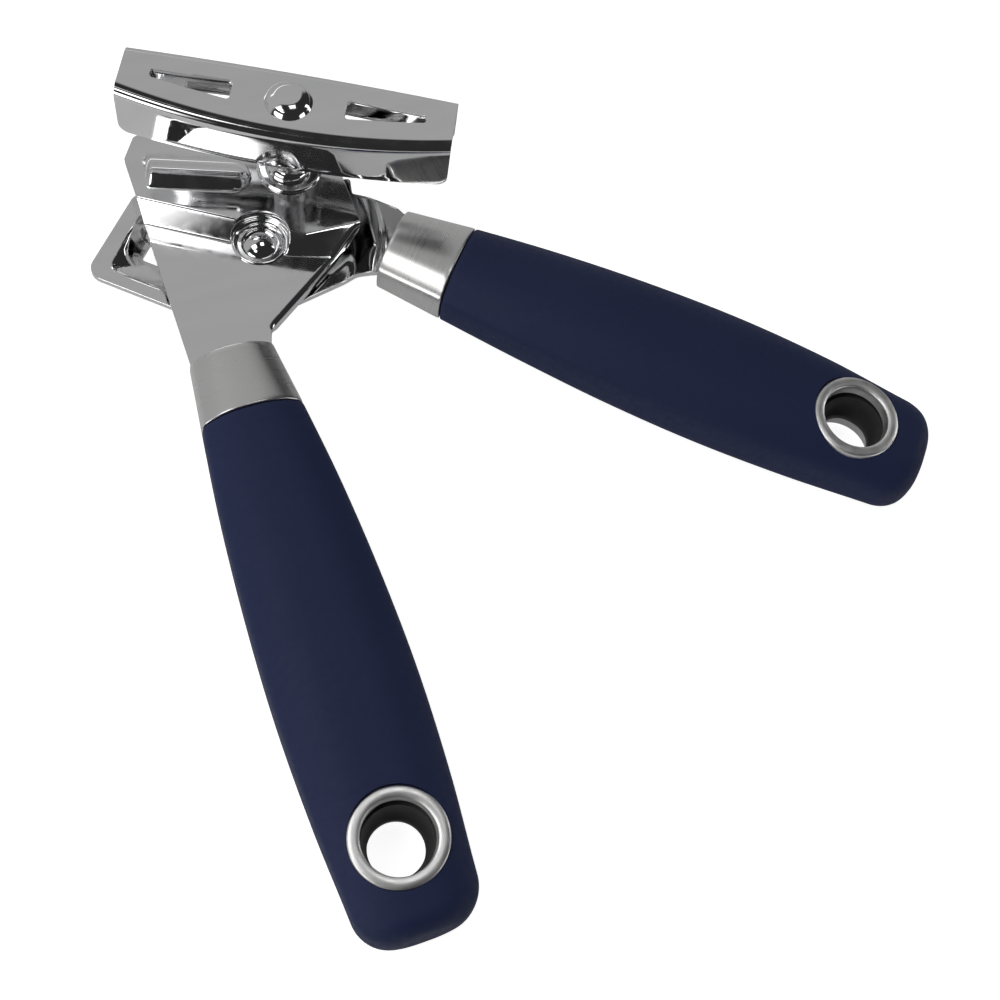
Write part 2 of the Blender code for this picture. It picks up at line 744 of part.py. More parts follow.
def feed_wheel():
    outline = toothed_outline(FEED_TIP, FEED_ROOT, SERRATIONS, 0.0, 0.12)
    wheel = prism("feed_wheel", outline, FEED_BOTTOM, FEED_TOP)
    floor = FEED_BOTTOM + FEED_RECESS
    recess = turned("feed_recess", [(0, floor), (4.8 * MM, floor), (5.4 * MM, 0), (0, 0)])
    wheel = cut(wheel, recess, drill("feed_bore", (0, 0), 2.9 * MM))
    return moved(wheel, shifted(*SHAFT))


def cutter_wheel():
    """The knife disc, ground to an edge from below, with the hub that keeps it off its gear."""
    bore = STUD_SHANK + GAP
    profile = [(bore, FEED_TOP), (3.9 * MM, FEED_TOP), (3.9 * MM, CUTTER_TOP), (CUTTER_RADIUS, CUTTER_TOP)]
    profile += [
        (CUTTER_RADIUS - 0.05 * MM, CUTTER_TOP - 0.15 * MM),
        (5.4 * MM, CUTTER_BOTTOM),
        (bore, CUTTER_BOTTOM),
    ]
    return moved(turned("cutter_wheel", profile, 36), shifted(*STUD))


def cutter_stud():
    """The shouldered rivet that the cutter turns on. Its lower head is what the front end rests on."""
    top = REAR_TOP + GAP
    profile = [(0, top + 1.4 * MM), (3.0 * MM, top + 1.4 * MM), (4.0 * MM, top + 0.8 * MM), (4.0 * MM, top)]
    profile += [(STUD_SHANK, top), (STUD_SHANK, CUTTER_BOTTOM - GAP), (4.2 * MM, CUTTER_BOTTOM - GAP)]
    profile += [(4.2 * MM, 0.3 * MM), (3.9 * MM, 0), (0, 0)]
    return moved(turned("cutter_stud", profile, 32), shifted(*STUD))


def key_shaft():
    seat = KEY_MID_TOP - KEY_SHEET - GAP
    profile = [(0, KEY_MID_TOP), (2.0 * MM, KEY_MID_TOP), (2.0 * MM, seat), (4.0 * MM, seat)]
    profile += [
        (4.0 * MM, seat - 13 * MM), (SHAFT_RADIUS, seat - 14 * MM), (SHAFT_RADIUS, FEED_TOP + GAP / 2)
    ]
    recess = FEED_BOTTOM + FEED_RECESS
    profile += [(2.6 * MM, FEED_TOP + GAP / 2), (2.6 * MM, recess), (2.2 * MM, recess)]
    profile += [(2.2 * MM, 1.0 * MM), (1.9 * MM, 0.7 * MM), (0, 0.7 * MM)]
    return moved(turned("key_shaft", profile, 32), shifted(*SHAFT))


def shaft_washer():
    profile = [
        (3.3 * MM, 12.0 * MM),
        (4.0 * MM, 12.0 * MM),
        (4.8 * MM, 11.3 * MM),
        (4.8 * MM, 10.6 * MM),
        (3.3 * MM, 10.9 * MM),
    ]
    return moved(turned("shaft_spring_washer", profile, 32), shifted(*SHAFT))


def shaft_nut():
    top = FEED_BOTTOM + FEED_RECESS - GAP
    hexagon = arc((0, 0), 4.0 * MM, 0, math.tau * 5 / 6, 5)
    nut = prism("shaft_nut", hexagon, 1.3 * MM, top)
    return moved(cut(nut, drill("nut_bore", (0, 0), 2.2 * MM + GAP)), shifted(*SHAFT))


def key_rivet():
    """The flat-topped head that is spun over the key at the end of the shaft."""
    seat = KEY_MID_TOP + GAP
    dome = [
        (HEAD_FLAT, seat + HEAD_HEIGHT),
        (4.4 * MM, seat + HEAD_HEIGHT - 0.5 * MM),
        (5.3 * MM, seat + 0.8 * MM),
    ]
    return moved(
        turned("key_rivet_head", [(0, seat + HEAD_HEIGHT), *dome, (HEAD_RADIUS, seat), (0, seat)], 32),
        shifted(*SHAFT),
    )


def key_section(along):
    """The channel of the key at this distance along it: outside from flange to flange, then back inside."""
    share = (along / KEY_HALF_LENGTH) ** 2
    half = KEY_MID_HALF + (KEY_END_HALF - KEY_MID_HALF) * share
    top = KEY_MID_TOP + KEY_END_RISE * share
    past = min(KEY_CORNER, max(0.0, abs(along) - (KEY_HALF_LENGTH - KEY_CORNER)))
    bottom = KEY_MID_BOTTOM + KEY_BOTTOM_RISE * share + KEY_CORNER - math.sqrt(KEY_CORNER**2 - past**2)
    bend = arc((half - KEY_BEND, top - KEY_BEND), KEY_BEND, 0, math.pi / 2, 3)
    inside = arc((half - KEY_BEND, top - KEY_BEND), KEY_BEND - KEY_SHEET, 0, math.pi / 2, 3)
    right_outer = [(half, bottom), *bend]
    right_inner = [(half - KEY_SHEET, bottom), *inside]
    left_outer = [(-x, z) for x, z in reversed(right_outer)]
    left_inner = [(-x, z) for x, z in reversed(right_inner)]
    ring = right_outer + left_outer + left_inner[::-1] + right_inner[::-1]
    return [(along, y, z) for y, z in ring]


def key_slot(side):
    inner = SLOT_INNER / MM
    outer = SLOT_OUTER / MM
    corners = [(inner, -2.6, 0.9), (outer, -0.9, 0.7), (outer, 1.2, 0.7), (inner, 3.1, 0.9)]
    outline = [(x * side, y) for x, y in rounded(scaled(corners))]
    name = "key_slot_right" if side > 0 else "key_slot_left"
    return prism(name, outline, KEY_MID_TOP - 5 * MM, KEY_MID_TOP + 8 * MM)


def key_handle():
    curve = [KEY_HALF_LENGTH - KEY_CORNER + KEY_CORNER * math.sin(math.radians(a)) for a in (0, 35, 65, 90)]
    half = between(0, KEY_HALF_LENGTH - KEY_CORNER, 5)[1:-1] + curve
    stations = [-x for x in reversed(half)] + [0.0] + half
    key = lofted("key_handle", [key_section(along) for along in stations])
    key = cut(key, key_slot(-1), key_slot(1), drill("key_hole", (0, 0), 2.0 * MM + GAP))
    return moved(key, shifted(*SHAFT) @ spun(KEY_ANGLE))


def on_axis(obj, place):
    """Puts the object's origin on this vertical axis without moving its shape."""
    obj.data.transform(shifted(-place.x, -place.y))
    obj.location = (place.x, place.y, 0)


def handle_pieces(side, offset, tang_top, tang_sheet):
    looks = {
        "ferrule": satin,
        "core": plastic,
        "grip": navy,
        "ring_top": satin,
        "ring_bottom": satin,
        "hole_liner": dark,
    }
    made = [
        ferrule(side),
        core(side, tang_top, tang_sheet),
        grip(side),
        ring_top(side),
        ring_bottom(side),
        hole_liner(side),
    ]
    for obj in made:
        moved(obj, shifted(offset, 0))
        finish(obj, looks[obj.name.split("_", 1)[1]])
    return made


def build():
    front = handle_pieces("front", FRONT_OFFSET, FRONT_LOW, SHEET)
    front += [finish(front_plate(), chrome), finish(pivot_rivet(), chrome), finish(key_bushing(), chrome)]
    front.append(finish(washer("pivot_washer", PIVOT_SHANK + GAP, 6.4 * MM, 11.6 * MM, 12.2 * MM), steel))
    under = REAR_TOP - REAR_SHEET - GAP
    front.append(
        finish(washer("pivot_burr_washer", PIVOT_SHANK + GAP, 5.0 * MM, under - 1.2 * MM, under), steel)
    )

    rear = handle_pieces("rear", REAR_OFFSET, NECK_TOP, REAR_SHEET)
    rear += [finish(rear_plate(), chrome), finish(cutter_stud(), steel)]
    cutter = [finish(cutter_gear(), steel), finish(cutter_wheel(), steel)]
    stud_axis = turned_by(STUD, OPEN_ANGLE)
    for obj in rear + cutter:
        moved(obj, spun(OPEN_ANGLE))

    drive = [finish(key_handle(), chrome), finish(key_shaft(), steel), finish(key_rivet(), chrome)]
    drive += [
        finish(drive_gear(), steel),
        finish(feed_wheel(), steel),
        finish(shaft_washer(), steel),
        finish(shaft_nut(), steel),
    ]
    for obj in drive:
        on_axis(obj, SHAFT)
    for obj in cutter:
        on_axis(obj, stud_axis)
    stand_on_origin(front + rear + cutter + drive)


def stand_on_origin(objects):
    """Moves everything so that the middle of the whole box's lower face is at the origin."""
    corners = [obj.location + vert.co for obj in objects for vert in obj.data.vertices]
    low = Vector([min(corner[k] for corner in corners) for k in range(3)])
    high = Vector([max(corner[k] for corner in corners) for k in range(3)])
    for obj in objects:
        obj.location -= Vector(((low.x + high.x) / 2, (low.y + high.y) / 2, low.z))


clear_scene()
parts = new_collection("can_opener")
cutters = new_collection("cutters")
navy = material("soft_navy_grip", NAVY, 0.62, 0.0)
satin = material("satin_steel", SATIN, 0.32, 1.0)
chrome = material("bright_chrome", CHROME, 0.07, 1.0)
steel = material("plain_steel", SATIN, 0.25, 1.0)
plastic = material("black_nylon", PLASTIC, 0.5, 0.0)
dark = material("dark_grey_liner", DARK_GREY, 0.45, 0.0)
build()
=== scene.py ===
"""The looks of a manual can opener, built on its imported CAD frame."""

import json
import math

import bmesh
import bpy
from mathutils import Matrix, Vector
from mathutils.geometry import delaunay_2d_cdt
from mathutils.kdtree import KDTree


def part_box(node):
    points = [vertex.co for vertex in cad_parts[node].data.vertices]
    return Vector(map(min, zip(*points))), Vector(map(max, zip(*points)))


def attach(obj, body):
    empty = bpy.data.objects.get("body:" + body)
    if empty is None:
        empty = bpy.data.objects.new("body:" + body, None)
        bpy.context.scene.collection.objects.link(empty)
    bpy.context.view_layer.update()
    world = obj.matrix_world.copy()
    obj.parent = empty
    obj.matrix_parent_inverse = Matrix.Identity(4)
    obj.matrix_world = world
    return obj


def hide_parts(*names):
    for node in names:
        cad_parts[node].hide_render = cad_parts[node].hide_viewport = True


MM = 0.001
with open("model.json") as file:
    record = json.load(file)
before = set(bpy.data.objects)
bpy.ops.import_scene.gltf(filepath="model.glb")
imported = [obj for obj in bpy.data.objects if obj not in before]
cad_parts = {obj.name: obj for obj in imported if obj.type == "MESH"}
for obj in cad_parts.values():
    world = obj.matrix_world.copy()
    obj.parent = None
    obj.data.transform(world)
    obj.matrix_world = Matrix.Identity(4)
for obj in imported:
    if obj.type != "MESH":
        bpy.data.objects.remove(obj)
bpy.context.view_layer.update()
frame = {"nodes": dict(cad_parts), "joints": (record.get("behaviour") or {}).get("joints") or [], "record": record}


# Places and sizes, from the frame


def joint_place(name):
    return next(Vector(joint["pos_m"]) for joint in frame["joints"] if joint["name"] == name)


def middle(node):
    low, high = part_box(node)
    return (low + high) / 2


def flat(vector):
    return Vector((vector.x, vector.y))


def heights_of(node):
    low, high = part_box(node)
    return low.z, high.z


def radius_of(node):
    low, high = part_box(node)
    return (high.x - low.x) / 2


PIVOT = joint_place("lever_pivot")
SHAFT = flat(joint_place("key_turn") - PIVOT)
STUD_PLACE = flat(joint_place("cutter_turn") - PIVOT)
FRONT_RING = flat(middle("front_ring_bottom") - PIVOT)
REAR_RING = flat(middle("rear_ring_bottom") - PIVOT)
RING_AT = -FRONT_RING.y
FRONT_OFFSET = FRONT_RING.x
REAR_OFFSET = math.sqrt(REAR_RING.length_squared - RING_AT**2)
OPEN_ANGLE = math.atan2(REAR_RING.y, REAR_RING.x) - math.atan2(-RING_AT, REAR_OFFSET)
FRONT = Matrix.Translation((PIVOT.x, PIVOT.y, 0))
REAR = FRONT @ Matrix.Rotation(OPEN_ANGLE, 4, "Z")

FERRULE_START = PIVOT.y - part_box("front_ferrule")[1].y
FERRULE_WALL = 1.1 * MM
FERRULE_GAP = 0.3 * MM
GRIP_START = PIVOT.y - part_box("front_grip")[1].y
GRIP_END = PIVOT.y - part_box("front_grip")[0].y
END_CORNER = 8.2 * MM
END_EDGE = 4.0 * MM
SIDE_BULGE = 0.35 * MM

RING_BOTTOM = heights_of("front_ring_bottom")[0]
RING_RADIUS = radius_of("front_ring_bottom")
RING_BORE = 8.1 * MM
RING_SKIRT = 2.2 * MM
RING_BARREL = 3.2 * MM
RING_TILT = math.radians(5.0)
RING_TOP = middle("front_ring_top").z + 1.6 * MM
UPPER_RING = Matrix.Translation((0, -RING_AT, RING_TOP)) @ Matrix.Rotation(RING_TILT, 4, "X")
LOWER_RING = Matrix.Translation((0, -RING_AT, RING_BOTTOM)) @ Matrix.Rotation(math.pi, 4, "X")
LINER_RADIUS = radius_of("front_hole_liner")
LINER_BORE = 7.9 * MM
LINER_NECK = 6.3 * MM
EYELET = Matrix.Translation((0, -RING_AT, 0))

# Each plate ends this far along its handle, just short of the ferrule's mouth. In millimetres.
PLATE_END = (FERRULE_START - 0.1 * MM) / MM
PLATE_EDGE_STEP = 0.45 * MM
PLATE_ROUNDING = 0.14 * MM

# The front plate is a low and a high level with a ramp, the joggle, between them.
SHEET = 1.5 * MM
FRONT_LOW = 15.6 * MM
FRONT_HIGH = 18.5 * MM
JOGGLE_ANGLE = math.radians(-31.0)
JOGGLE_START = -2.1 * MM
JOGGLE_END = 3.1 * MM

# The dish for the pivot rivet: its floor's height, then the radii of its floor, wall, rim and edge.
PAD_FLOOR = FRONT_LOW - 0.8 * MM
PAD_RADIUS = 5.5 * MM
PAD_WALL = 6.0 * MM
PAD_RIM = 7.0 * MM
PAD_EDGE = 7.4 * MM
PAD_RIM_HEIGHT = 0.35 * MM

# The rear plate is flat under the front one and climbs to a neck, which is a shallow channel.
REAR_SHEET = 1.6 * MM
REAR_TOP = 11.3 * MM
NECK_TOP = 15.4 * MM
NECK_START = 22.0 * MM
NECK_RUN = 10.0 * MM
NECK_MIDDLE = REAR_OFFSET + 0.6 * MM
CHANNEL_DEPTH = 0.8 * MM
OPENER_DEPTH = 3.0 * MM

# The key is a channel. Towards its ends it gets narrower and both its top and its flanges' edges rise.
KEY_ANGLE = math.radians(-27.4)
KEY_HALF_LENGTH = 40.0 * MM
KEY_HALF_WIDTH = 10.4 * MM
KEY_NARROWING = 2.9 * MM
KEY_TOP = 43.8 * MM
KEY_TOP_RISE = 2.5 * MM
KEY_BOTTOM = 31.6 * MM
KEY_BOTTOM_RISE = 0.4 * MM
KEY_SHEET = 1.2 * MM
KEY_BEND = 3.0 * MM
KEY_CORNER = 2.6 * MM

# Rows of distance, half width, upper crease, lower crease and crown height along a handle, in millimetres.
HANDLE_ROWS = (
    (30.1, 10.0, 17.8, 10.8, 3.8),
    (47.8, 12.0, 18.5, 10.2, 4.3),
    (70.0, 14.2, 18.6, 9.0, 4.8),
    (94.0, 15.6, 18.4, 7.1, 4.8),
    (118.0, 16.1, 17.6, 5.8, 4.7),
    (142.0, 15.3, 16.0, 4.9, 4.5),
    (162.0, 13.8, 13.7, 4.4, 4.2),
    (172.0, 13.2, 12.6, 4.3, 4.0),
)

# Edges that turn by less than this are shaded smooth, in degrees.
SMOOTH_ANGLE = 38.0


# Mesh tools


def clamp(value):
    return min(1.0, max(0.0, value))


def ease(value):
    value = clamp(value)
    return value * value * (3 - 2 * value)


def round_step(value, softness):
    """Rises in a straight line from 0 to 1, with both bends rounded over this softness."""

    def soft(x):
        if x <= -softness:
            return 0.0
        if x >= softness:
            return x
        return (x + softness) ** 2 / (4 * softness)

    return soft(value) - soft(value - 1)


def between(start, end, steps):
    return [start + (end - start) * i / steps for i in range(steps + 1)]


def round_end(end, corner, steps):
    """Places up to a rounded end, closer together as the rounding steepens."""
    return [end - corner + corner * math.sin(a) for a in between(0.0, math.pi / 2, steps)]


def arc(centre, radius, start, end, steps):
    angles = between(start, end, steps)
    return [(centre[0] + radius * math.cos(a), centre[1] + radius * math.sin(a)) for a in angles]


def circle(radius, step):
    steps = max(24, int(math.tau * radius / step))
    return [Vector(p) for p in arc((0, 0), radius, 0, math.tau, steps)[:-1]]


def rounded(corners, steps=8):
    """The outline through corners (x, y, radius) in millimetres, with an arc wherever there is a radius."""
    outline = []
    for i, (x, y, radius) in enumerate(corners):
        here = Vector((x, y))
        if not radius:
            outline.append(here * MM)
            continue
        before = (Vector(corners[i - 1][:2]) - here).normalized()
        after = (Vector(corners[(i + 1) % len(corners)][:2]) - here).normalized()
        half = before.angle(after) / 2
        centre = here + (before + after).normalized() * radius / math.sin(half)
        first = here + before * radius / math.tan(half) - centre
        turn = first.angle_signed(here + after * radius / math.tan(half) - centre)
        start = math.atan2(first.y, first.x)
        outline += [Vector(p) * MM for p in arc(centre, radius, start, start - turn, steps)]
    return outline


def spaced(outline, step):
    """The closed outline with points added so that no two neighbours are further apart than the step."""
    made = []
    for i, here in enumerate(outline):
        after = outline[(i + 1) % len(outline)]
        count = max(1, math.ceil((after - here).length / step))
        made += [here.lerp(after, k / count) for k in range(count)]
    return made


def sides_of(outline):
    """Each point of the closed outline with the one after it."""
    return zip(outline, outline[1:] + outline[:1])


def inset_loop(outline, distance):
    """The closed outline moved inwards by this distance, corner by corner."""
    area = sum(a.x * b.y - b.x * a.y for a, b in sides_of(outline))
    side = 1 if area > 0 else -1
    moved_loop = []
    for i, here in enumerate(outline):
        before = (here - outline[i - 1]).normalized()
        after = (outline[(i + 1) % len(outline)] - here).normalized()
        first = Vector((-before.y, before.x))
        second = Vector((-after.y, after.x))
        normal = first + second
        reach = side * distance * 2 / max(normal.length_squared, 0.5)
        moved_loop.append(here + normal * reach)
    return moved_loop


def inside(point, outline):
    """True if a level line from the point to the right crosses the outline an odd number of times."""
    hit = False
    for a, b in sides_of(outline):
        if (a.y > point.y) != (b.y > point.y):
            crossing = a.x + (point.y - a.y) / (b.y - a.y) * (b.x - a.x)
            if point.x < crossing:
                hit = not hit
    return hit


def nearest_on(outline, point):
    """The place on the outline that is nearest to the point."""
    places = []
    for a, b in sides_of(outline):
        side = b - a
        along = clamp((point - a).dot(side) / side.length_squared)
        places.append(a + side * along)
    return min(places, key=lambda place: (point - place).length)


def object_of(name, bm, angle=SMOOTH_ANGLE):
    bmesh.ops.recalc_face_normals(bm, faces=bm.faces)
    mesh = bpy.data.meshes.new(name)
    bm.to_mesh(mesh)
    bm.free()
    obj = bpy.data.objects.new(name, mesh)
    bpy.context.scene.collection.objects.link(obj)
    smooth(obj, angle)
    return obj


def smooth(obj, angle=SMOOTH_ANGLE):
    obj.data.shade_smooth()
    obj.data.set_sharp_from_angle(angle=math.radians(angle))


def applied(obj):
    """The object with its modifiers made into its mesh."""
    graph = bpy.context.evaluated_depsgraph_get()
    mesh = bpy.data.meshes.new_from_object(obj.evaluated_get(graph))
    obj.modifiers.clear()
    obj.data = mesh
    smooth(obj)
    return obj


def cut(obj, *cutters):
    """The object with the cutters taken out of it. The cutters are removed."""
    for cutter in cutters:
        step = obj.modifiers.new(cutter.name, "BOOLEAN")
        step.operation = "DIFFERENCE"
        step.solver = "EXACT"
        step.object = cutter
    applied(obj)
    for cutter in cutters:
        bpy.data.objects.remove(cutter, do_unlink=True)
    return obj


def bevelled(obj, width, segments=3, angle=55.0):
    """The object with its sharp edges rounded."""
    step = obj.modifiers.new("rounding", "BEVEL")
    step.width = width
    step.segments = segments
    step.limit_method = "ANGLE"
    step.angle_limit = math.radians(angle)
    step.use_clamp_overlap = True
    return applied(obj)


def turned(name, profile, steps=96, angle=SMOOTH_ANGLE):
    """A piece turned about +Z. The profile lists (radius, z) down its outer side, then back up any bore."""
    bm = bmesh.new()
    rings = []
    for radius, z in profile:
        if radius < 1e-7:
            rings.append([bm.verts.new((0, 0, z))])
            continue
        rings.append([bm.verts.new((x, y, z)) for x, y in arc((0, 0), radius, 0, math.tau, steps)[:-1]])
    pairs = list(zip(rings, rings[1:]))
    if len(rings[0]) > 1 and len(rings[-1]) > 1:
        pairs.append((rings[-1], rings[0]))
    for upper, lower in pairs:
        for i in range(steps):
            corners = [
                upper[i % len(upper)],
                upper[(i + 1) % len(upper)],
                lower[(i + 1) % len(lower)],
                lower[i % len(lower)],
            ]
            face = list(dict.fromkeys(corners))
            if len(face) > 2:
                bm.faces.new(face)
    return object_of(name, bm, angle)


def fillet(profile, radii, steps=6):
    """The open profile (radius, z) with a rounding at each inner corner, in the same order as the radii."""
    made = [profile[0]]
    for i, radius in enumerate(radii, 1):
        here = Vector(profile[i])
        before = Vector(profile[i - 1]) - here
        after = Vector(profile[i + 1]) - here
        size = min(radius, before.length * 0.49, after.length * 0.49)
        first = here + before.normalized() * size
        last = here + after.normalized() * size
        for k in range(steps + 1):
            share = k / steps
            point = first.lerp(here, share).lerp(here.lerp(last, share), share)
            made.append((point.x, point.y))
    return made + [profile[-1]]


def lofted(name, sections, closed=False):
    """A skin through rings of equally many points. It has end caps, or else runs back to the first ring."""
    bm = bmesh.new()
    rings = [[bm.verts.new(point) for point in section] for section in sections]
    pairs = list(zip(rings, rings[1:] + rings[:1])) if closed else list(zip(rings, rings[1:]))
    for lower, upper in pairs:
        for i in range(len(lower)):
            bm.faces.new((lower[i - 1], lower[i], upper[i], upper[i - 1]))
    if not closed:
        bm.faces.new(rings[0])
        bm.faces.new(reversed(rings[-1]))
    return object_of(name, bm)


def sheet_points(outline, loops, spacing, angle):
    """A turned grid of points inside the outline that keeps clear of the loops."""
    near = [point for loop in loops for point in loop]
    tree = KDTree(len(near))
    for i, point in enumerate(near):
        tree.insert((point.x, point.y, 0), i)
    tree.balance()
    turn = Matrix.Rotation(angle, 2)
    back = turn.inverted()
    local = [back @ point for point in outline]
    low = Vector((min(p.x for p in local), min(p.y for p in local)))
    high = Vector((max(p.x for p in local), max(p.y for p in local)))
    points = []
    for i in range(int((high.x - low.x) / spacing) + 1):
        for j in range(int((high.y - low.y) / spacing) + 1):
            point = turn @ (low + Vector((i, j)) * spacing)
            if tree.find((point.x, point.y, 0))[2] > 0.55 * spacing and inside(point, outline):
                points.append(point)
    return points


def pressed_sheet(name, outline, loops, holes, height, thickness, spacing, angle=0.0, creases=()):
    """A sheet with its upper side at height(point). Its mesh follows all the rings, holes and creases."""
    rings = [outline, *loops, *holes]
    points = sheet_points(outline, [*rings, *creases], spacing, angle)
    edges = []
    start = len(points)
    for crease in creases:
        edges += [(start + i, start + i + 1) for i in range(len(crease) - 1)]
        points += crease
        start += len(crease)
    for ring in rings:
        count = len(ring)
        edges += [(start + i, start + (i + 1) % count) for i in range(count)]
        points += ring
        start += count
    places, _, triangles, *_ = delaunay_2d_cdt(points, edges, [], 1, 1e-7)
    bm = bmesh.new()
    tops = [bm.verts.new((place.x, place.y, height(place))) for place in places]
    for face in triangles:
        centre = sum((places[i] for i in face), Vector((0, 0))) / len(face)
        if inside(centre, outline) and not any(inside(centre, hole) for hole in holes):
            bm.faces.new([tops[i] for i in face])
    bmesh.ops.delete(bm, geom=[v for v in bm.verts if not v.link_faces], context="VERTS")
    made = bmesh.ops.extrude_face_region(bm, geom=bm.faces[:])
    for vert in made["geom"]:
        if isinstance(vert, bmesh.types.BMVert):
            vert.co.z -= thickness
    return object_of(name, bm)


def placed(obj, matrix, body, slot, *nodes, look=None):
    """Puts a piece made about the pivot where it belongs, hangs it on the body it rides on, hides the CAD nodes it
    stands for and gives it its look.
    """
    obj.data.transform(matrix)
    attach(obj, body)
    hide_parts(*nodes)
    obj.data.materials.clear()
    obj.data.materials.append(looks[look or slot])


# Handles


def row_at(distance):
    """Half width, upper crease, lower crease and crown of a handle at this distance, on a smooth curve."""
    rows = [tuple(value * MM for value in row) for row in HANDLE_ROWS]
    i = max(1, min(len(rows) - 2, sum(row[0] <= distance for row in rows) - 1))
    if distance < rows[1][0]:
        share = (distance - rows[0][0]) / (rows[1][0] - rows[0][0])
        return [a + (b - a) * share for a, b in zip(rows[0][1:], rows[1][1:])]
    near = rows[i]
    far = rows[i + 1]
    later = rows[min(i + 2, len(rows) - 1)]
    share = (distance - near[0]) / (far[0] - near[0])
    span = far[0] - near[0]
    values = []
    for k in range(1, 5):
        before = (far[k] - rows[i - 1][k]) / (far[0] - rows[i - 1][0])
        after = (later[k] - near[k]) / (later[0] - near[0])
        values.append(
            near[k] * (1 - share) ** 2 * (1 + 2 * share)
            + far[k] * share**2 * (3 - 2 * share)
            + before * span * share * (1 - share) ** 2
            - after * span * share**2 * (1 - share)
        )
    return values


def handle_section(distance, inset=0.0, softening=3):
    """The ring of points round a handle: two upright sides between crowned faces, with softened creases."""
    half, upper, lower, crown = row_at(distance)
    past_corner = clamp((distance - (GRIP_END - END_CORNER)) / END_CORNER)
    half -= END_CORNER * (1 - math.sqrt(1 - past_corner**2))
    past_edge = clamp((distance - (GRIP_END - END_EDGE)) / END_EDGE)
    shrink = END_EDGE * (1 - math.sqrt(1 - past_edge**2))
    half -= inset
    # The crown is squarer across towards the eyelet, and its edge is rounded over at the end.
    power = 2.4 + 0.8 * min(1.0, distance / RING_AT)
    centre = (upper + lower) / 2
    side = max((upper - lower) / 2 - shrink * 0.6, 0.5 * MM)
    crown -= inset + shrink * 0.4
    top = [(half * u, centre + side + crown * (1 - abs(u) ** power)) for u in between(-1.0, 1.0, 36)]
    right = [(half + SIDE_BULGE * (1 - u * u), centre - side * u) for u in between(-1.0, 1.0, 12)[1:-1]]
    ring = top + right + [(-x, 2 * centre - z) for x, z in top + right]
    for _ in range(softening):
        ring = [
            (
                (ring[i - 1][0] + 2 * x + ring[(i + 1) % len(ring)][0]) / 4,
                (ring[i - 1][1] + 2 * z + ring[(i + 1) % len(ring)][1]) / 4,
            )
            for i, (x, z) in enumerate(ring)
        ]
    return [(x, -distance, z) for x, z in ring]


def eyelet_cutters():
    """The upper ring's pocket, and the liner's hole with the lower ring's pocket under it."""
    pocket = RING_RADIUS + 0.12 * MM
    under_ring = RING_SKIRT + 0.3 * MM
    above = 30 * MM
    upper = turned("pocket", [(0, above), (pocket, above), (pocket, -under_ring), (0, -under_ring)])
    upper.data.transform(UPPER_RING)
    hole = LINER_RADIUS + 0.2 * MM
    foot = RING_BOTTOM + under_ring
    top = 25 * MM
    below = -5 * MM
    profile = [(0, top), (hole, top), (hole, foot), (pocket, foot), (pocket, below), (0, below)]
    lower = turned("foot", profile)
    lower.data.transform(EYELET)
    return upper, lower


def grip(side):
    """The moulding from its rounded mouth to its rounded end, with the eyelet's hole and pockets."""
    mouth = [handle_section(GRIP_START, 0.4 * MM), handle_section(GRIP_START + 0.12 * MM, 0.12 * MM)]
    length = between(GRIP_START + 0.45 * MM, GRIP_END - END_CORNER, 56)[:-1]
    end = round_end(GRIP_END, END_CORNER, 16)
    sections = mouth + [handle_section(distance) for distance in length + end]
    return cut(lofted(side + "_grip_moulding", sections), *eyelet_cutters())


def ferrule(side):
    """A sleeve with rolled edges at both of its mouths."""
    end = GRIP_START - FERRULE_GAP
    roll = ((0.0, 0.45), (0.08, 0.18), (0.25, 0.04), (0.45, 0.0))
    outer = [(FERRULE_START + along * MM, inset * MM) for along, inset in roll]
    outer += [(distance, 0.0) for distance in between(FERRULE_START, end, 12)[1:-1]]
    outer += [(end - along * MM, inset * MM) for along, inset in reversed(roll)]
    inner = [(end, FERRULE_WALL), (FERRULE_START, FERRULE_WALL)]
    sections = [handle_section(distance, inset, 2) for distance, inset in outer + inner]
    return lofted(side + "_ferrule_sleeve", sections, closed=True)


def ring_profile():
    """An eyelet ring: a broad, slightly crowned flange with soft rims, round its bore."""
    bore = RING_BORE
    skirt = RING_RADIUS
    centre = (bore + skirt) / 2
    half = (skirt - bore) / 2 - 0.35 * MM
    crown = [(centre + half * share, -0.16 * MM * share**2) for share in between(-1.0, 1.0, 10)]
    outer = [(skirt - 0.12 * MM, -0.32 * MM), (skirt, -0.62 * MM), (skirt, -RING_SKIRT)]
    inner = [(bore, -1.3 * MM), (bore + 0.04 * MM, -0.62 * MM), (bore + 0.15 * MM, -0.32 * MM)]
    back = [(skirt - 0.8 * MM, -RING_SKIRT), (skirt - 1.0 * MM, -0.9 * MM), (bore + 1.2 * MM, -0.9 * MM)]
    barrel = [(bore + 0.5 * MM, -1.5 * MM), (bore + 0.5 * MM, -RING_BARREL), (bore, -RING_BARREL)]
    return crown + outer + back + barrel + inner


def eyelet_ring(name, place):
    obj = turned(name, ring_profile(), steps=128, angle=50.0)
    obj.data.transform(place)
    return obj


def hole_liner(side):
    """The tube in the eyelet, with a narrower neck half way down it."""
    low, high = heights_of(side + "_hole_liner")
    step = (low + high) / 2
    outside = [(LINER_BORE, high), (LINER_RADIUS, high), (LINER_RADIUS, low), (LINER_BORE, low)]
    neck = [
        (LINER_BORE, low + 1.5 * MM),
        (LINER_NECK + 0.3 * MM, low + 2.2 * MM),
        (LINER_NECK, low + 2.6 * MM),
        (LINER_NECK, step - 1.2 * MM),
        (LINER_NECK + 0.25 * MM, step - 0.8 * MM),
        (LINER_BORE - 0.5 * MM, step + 0.6 * MM),
        (LINER_BORE, high - 2.0 * MM),
    ]
    obj = turned(side + "_eyelet_liner", outside + neck, steps=128, angle=45.0)
    obj.data.transform(EYELET)
    return obj


# The front plate


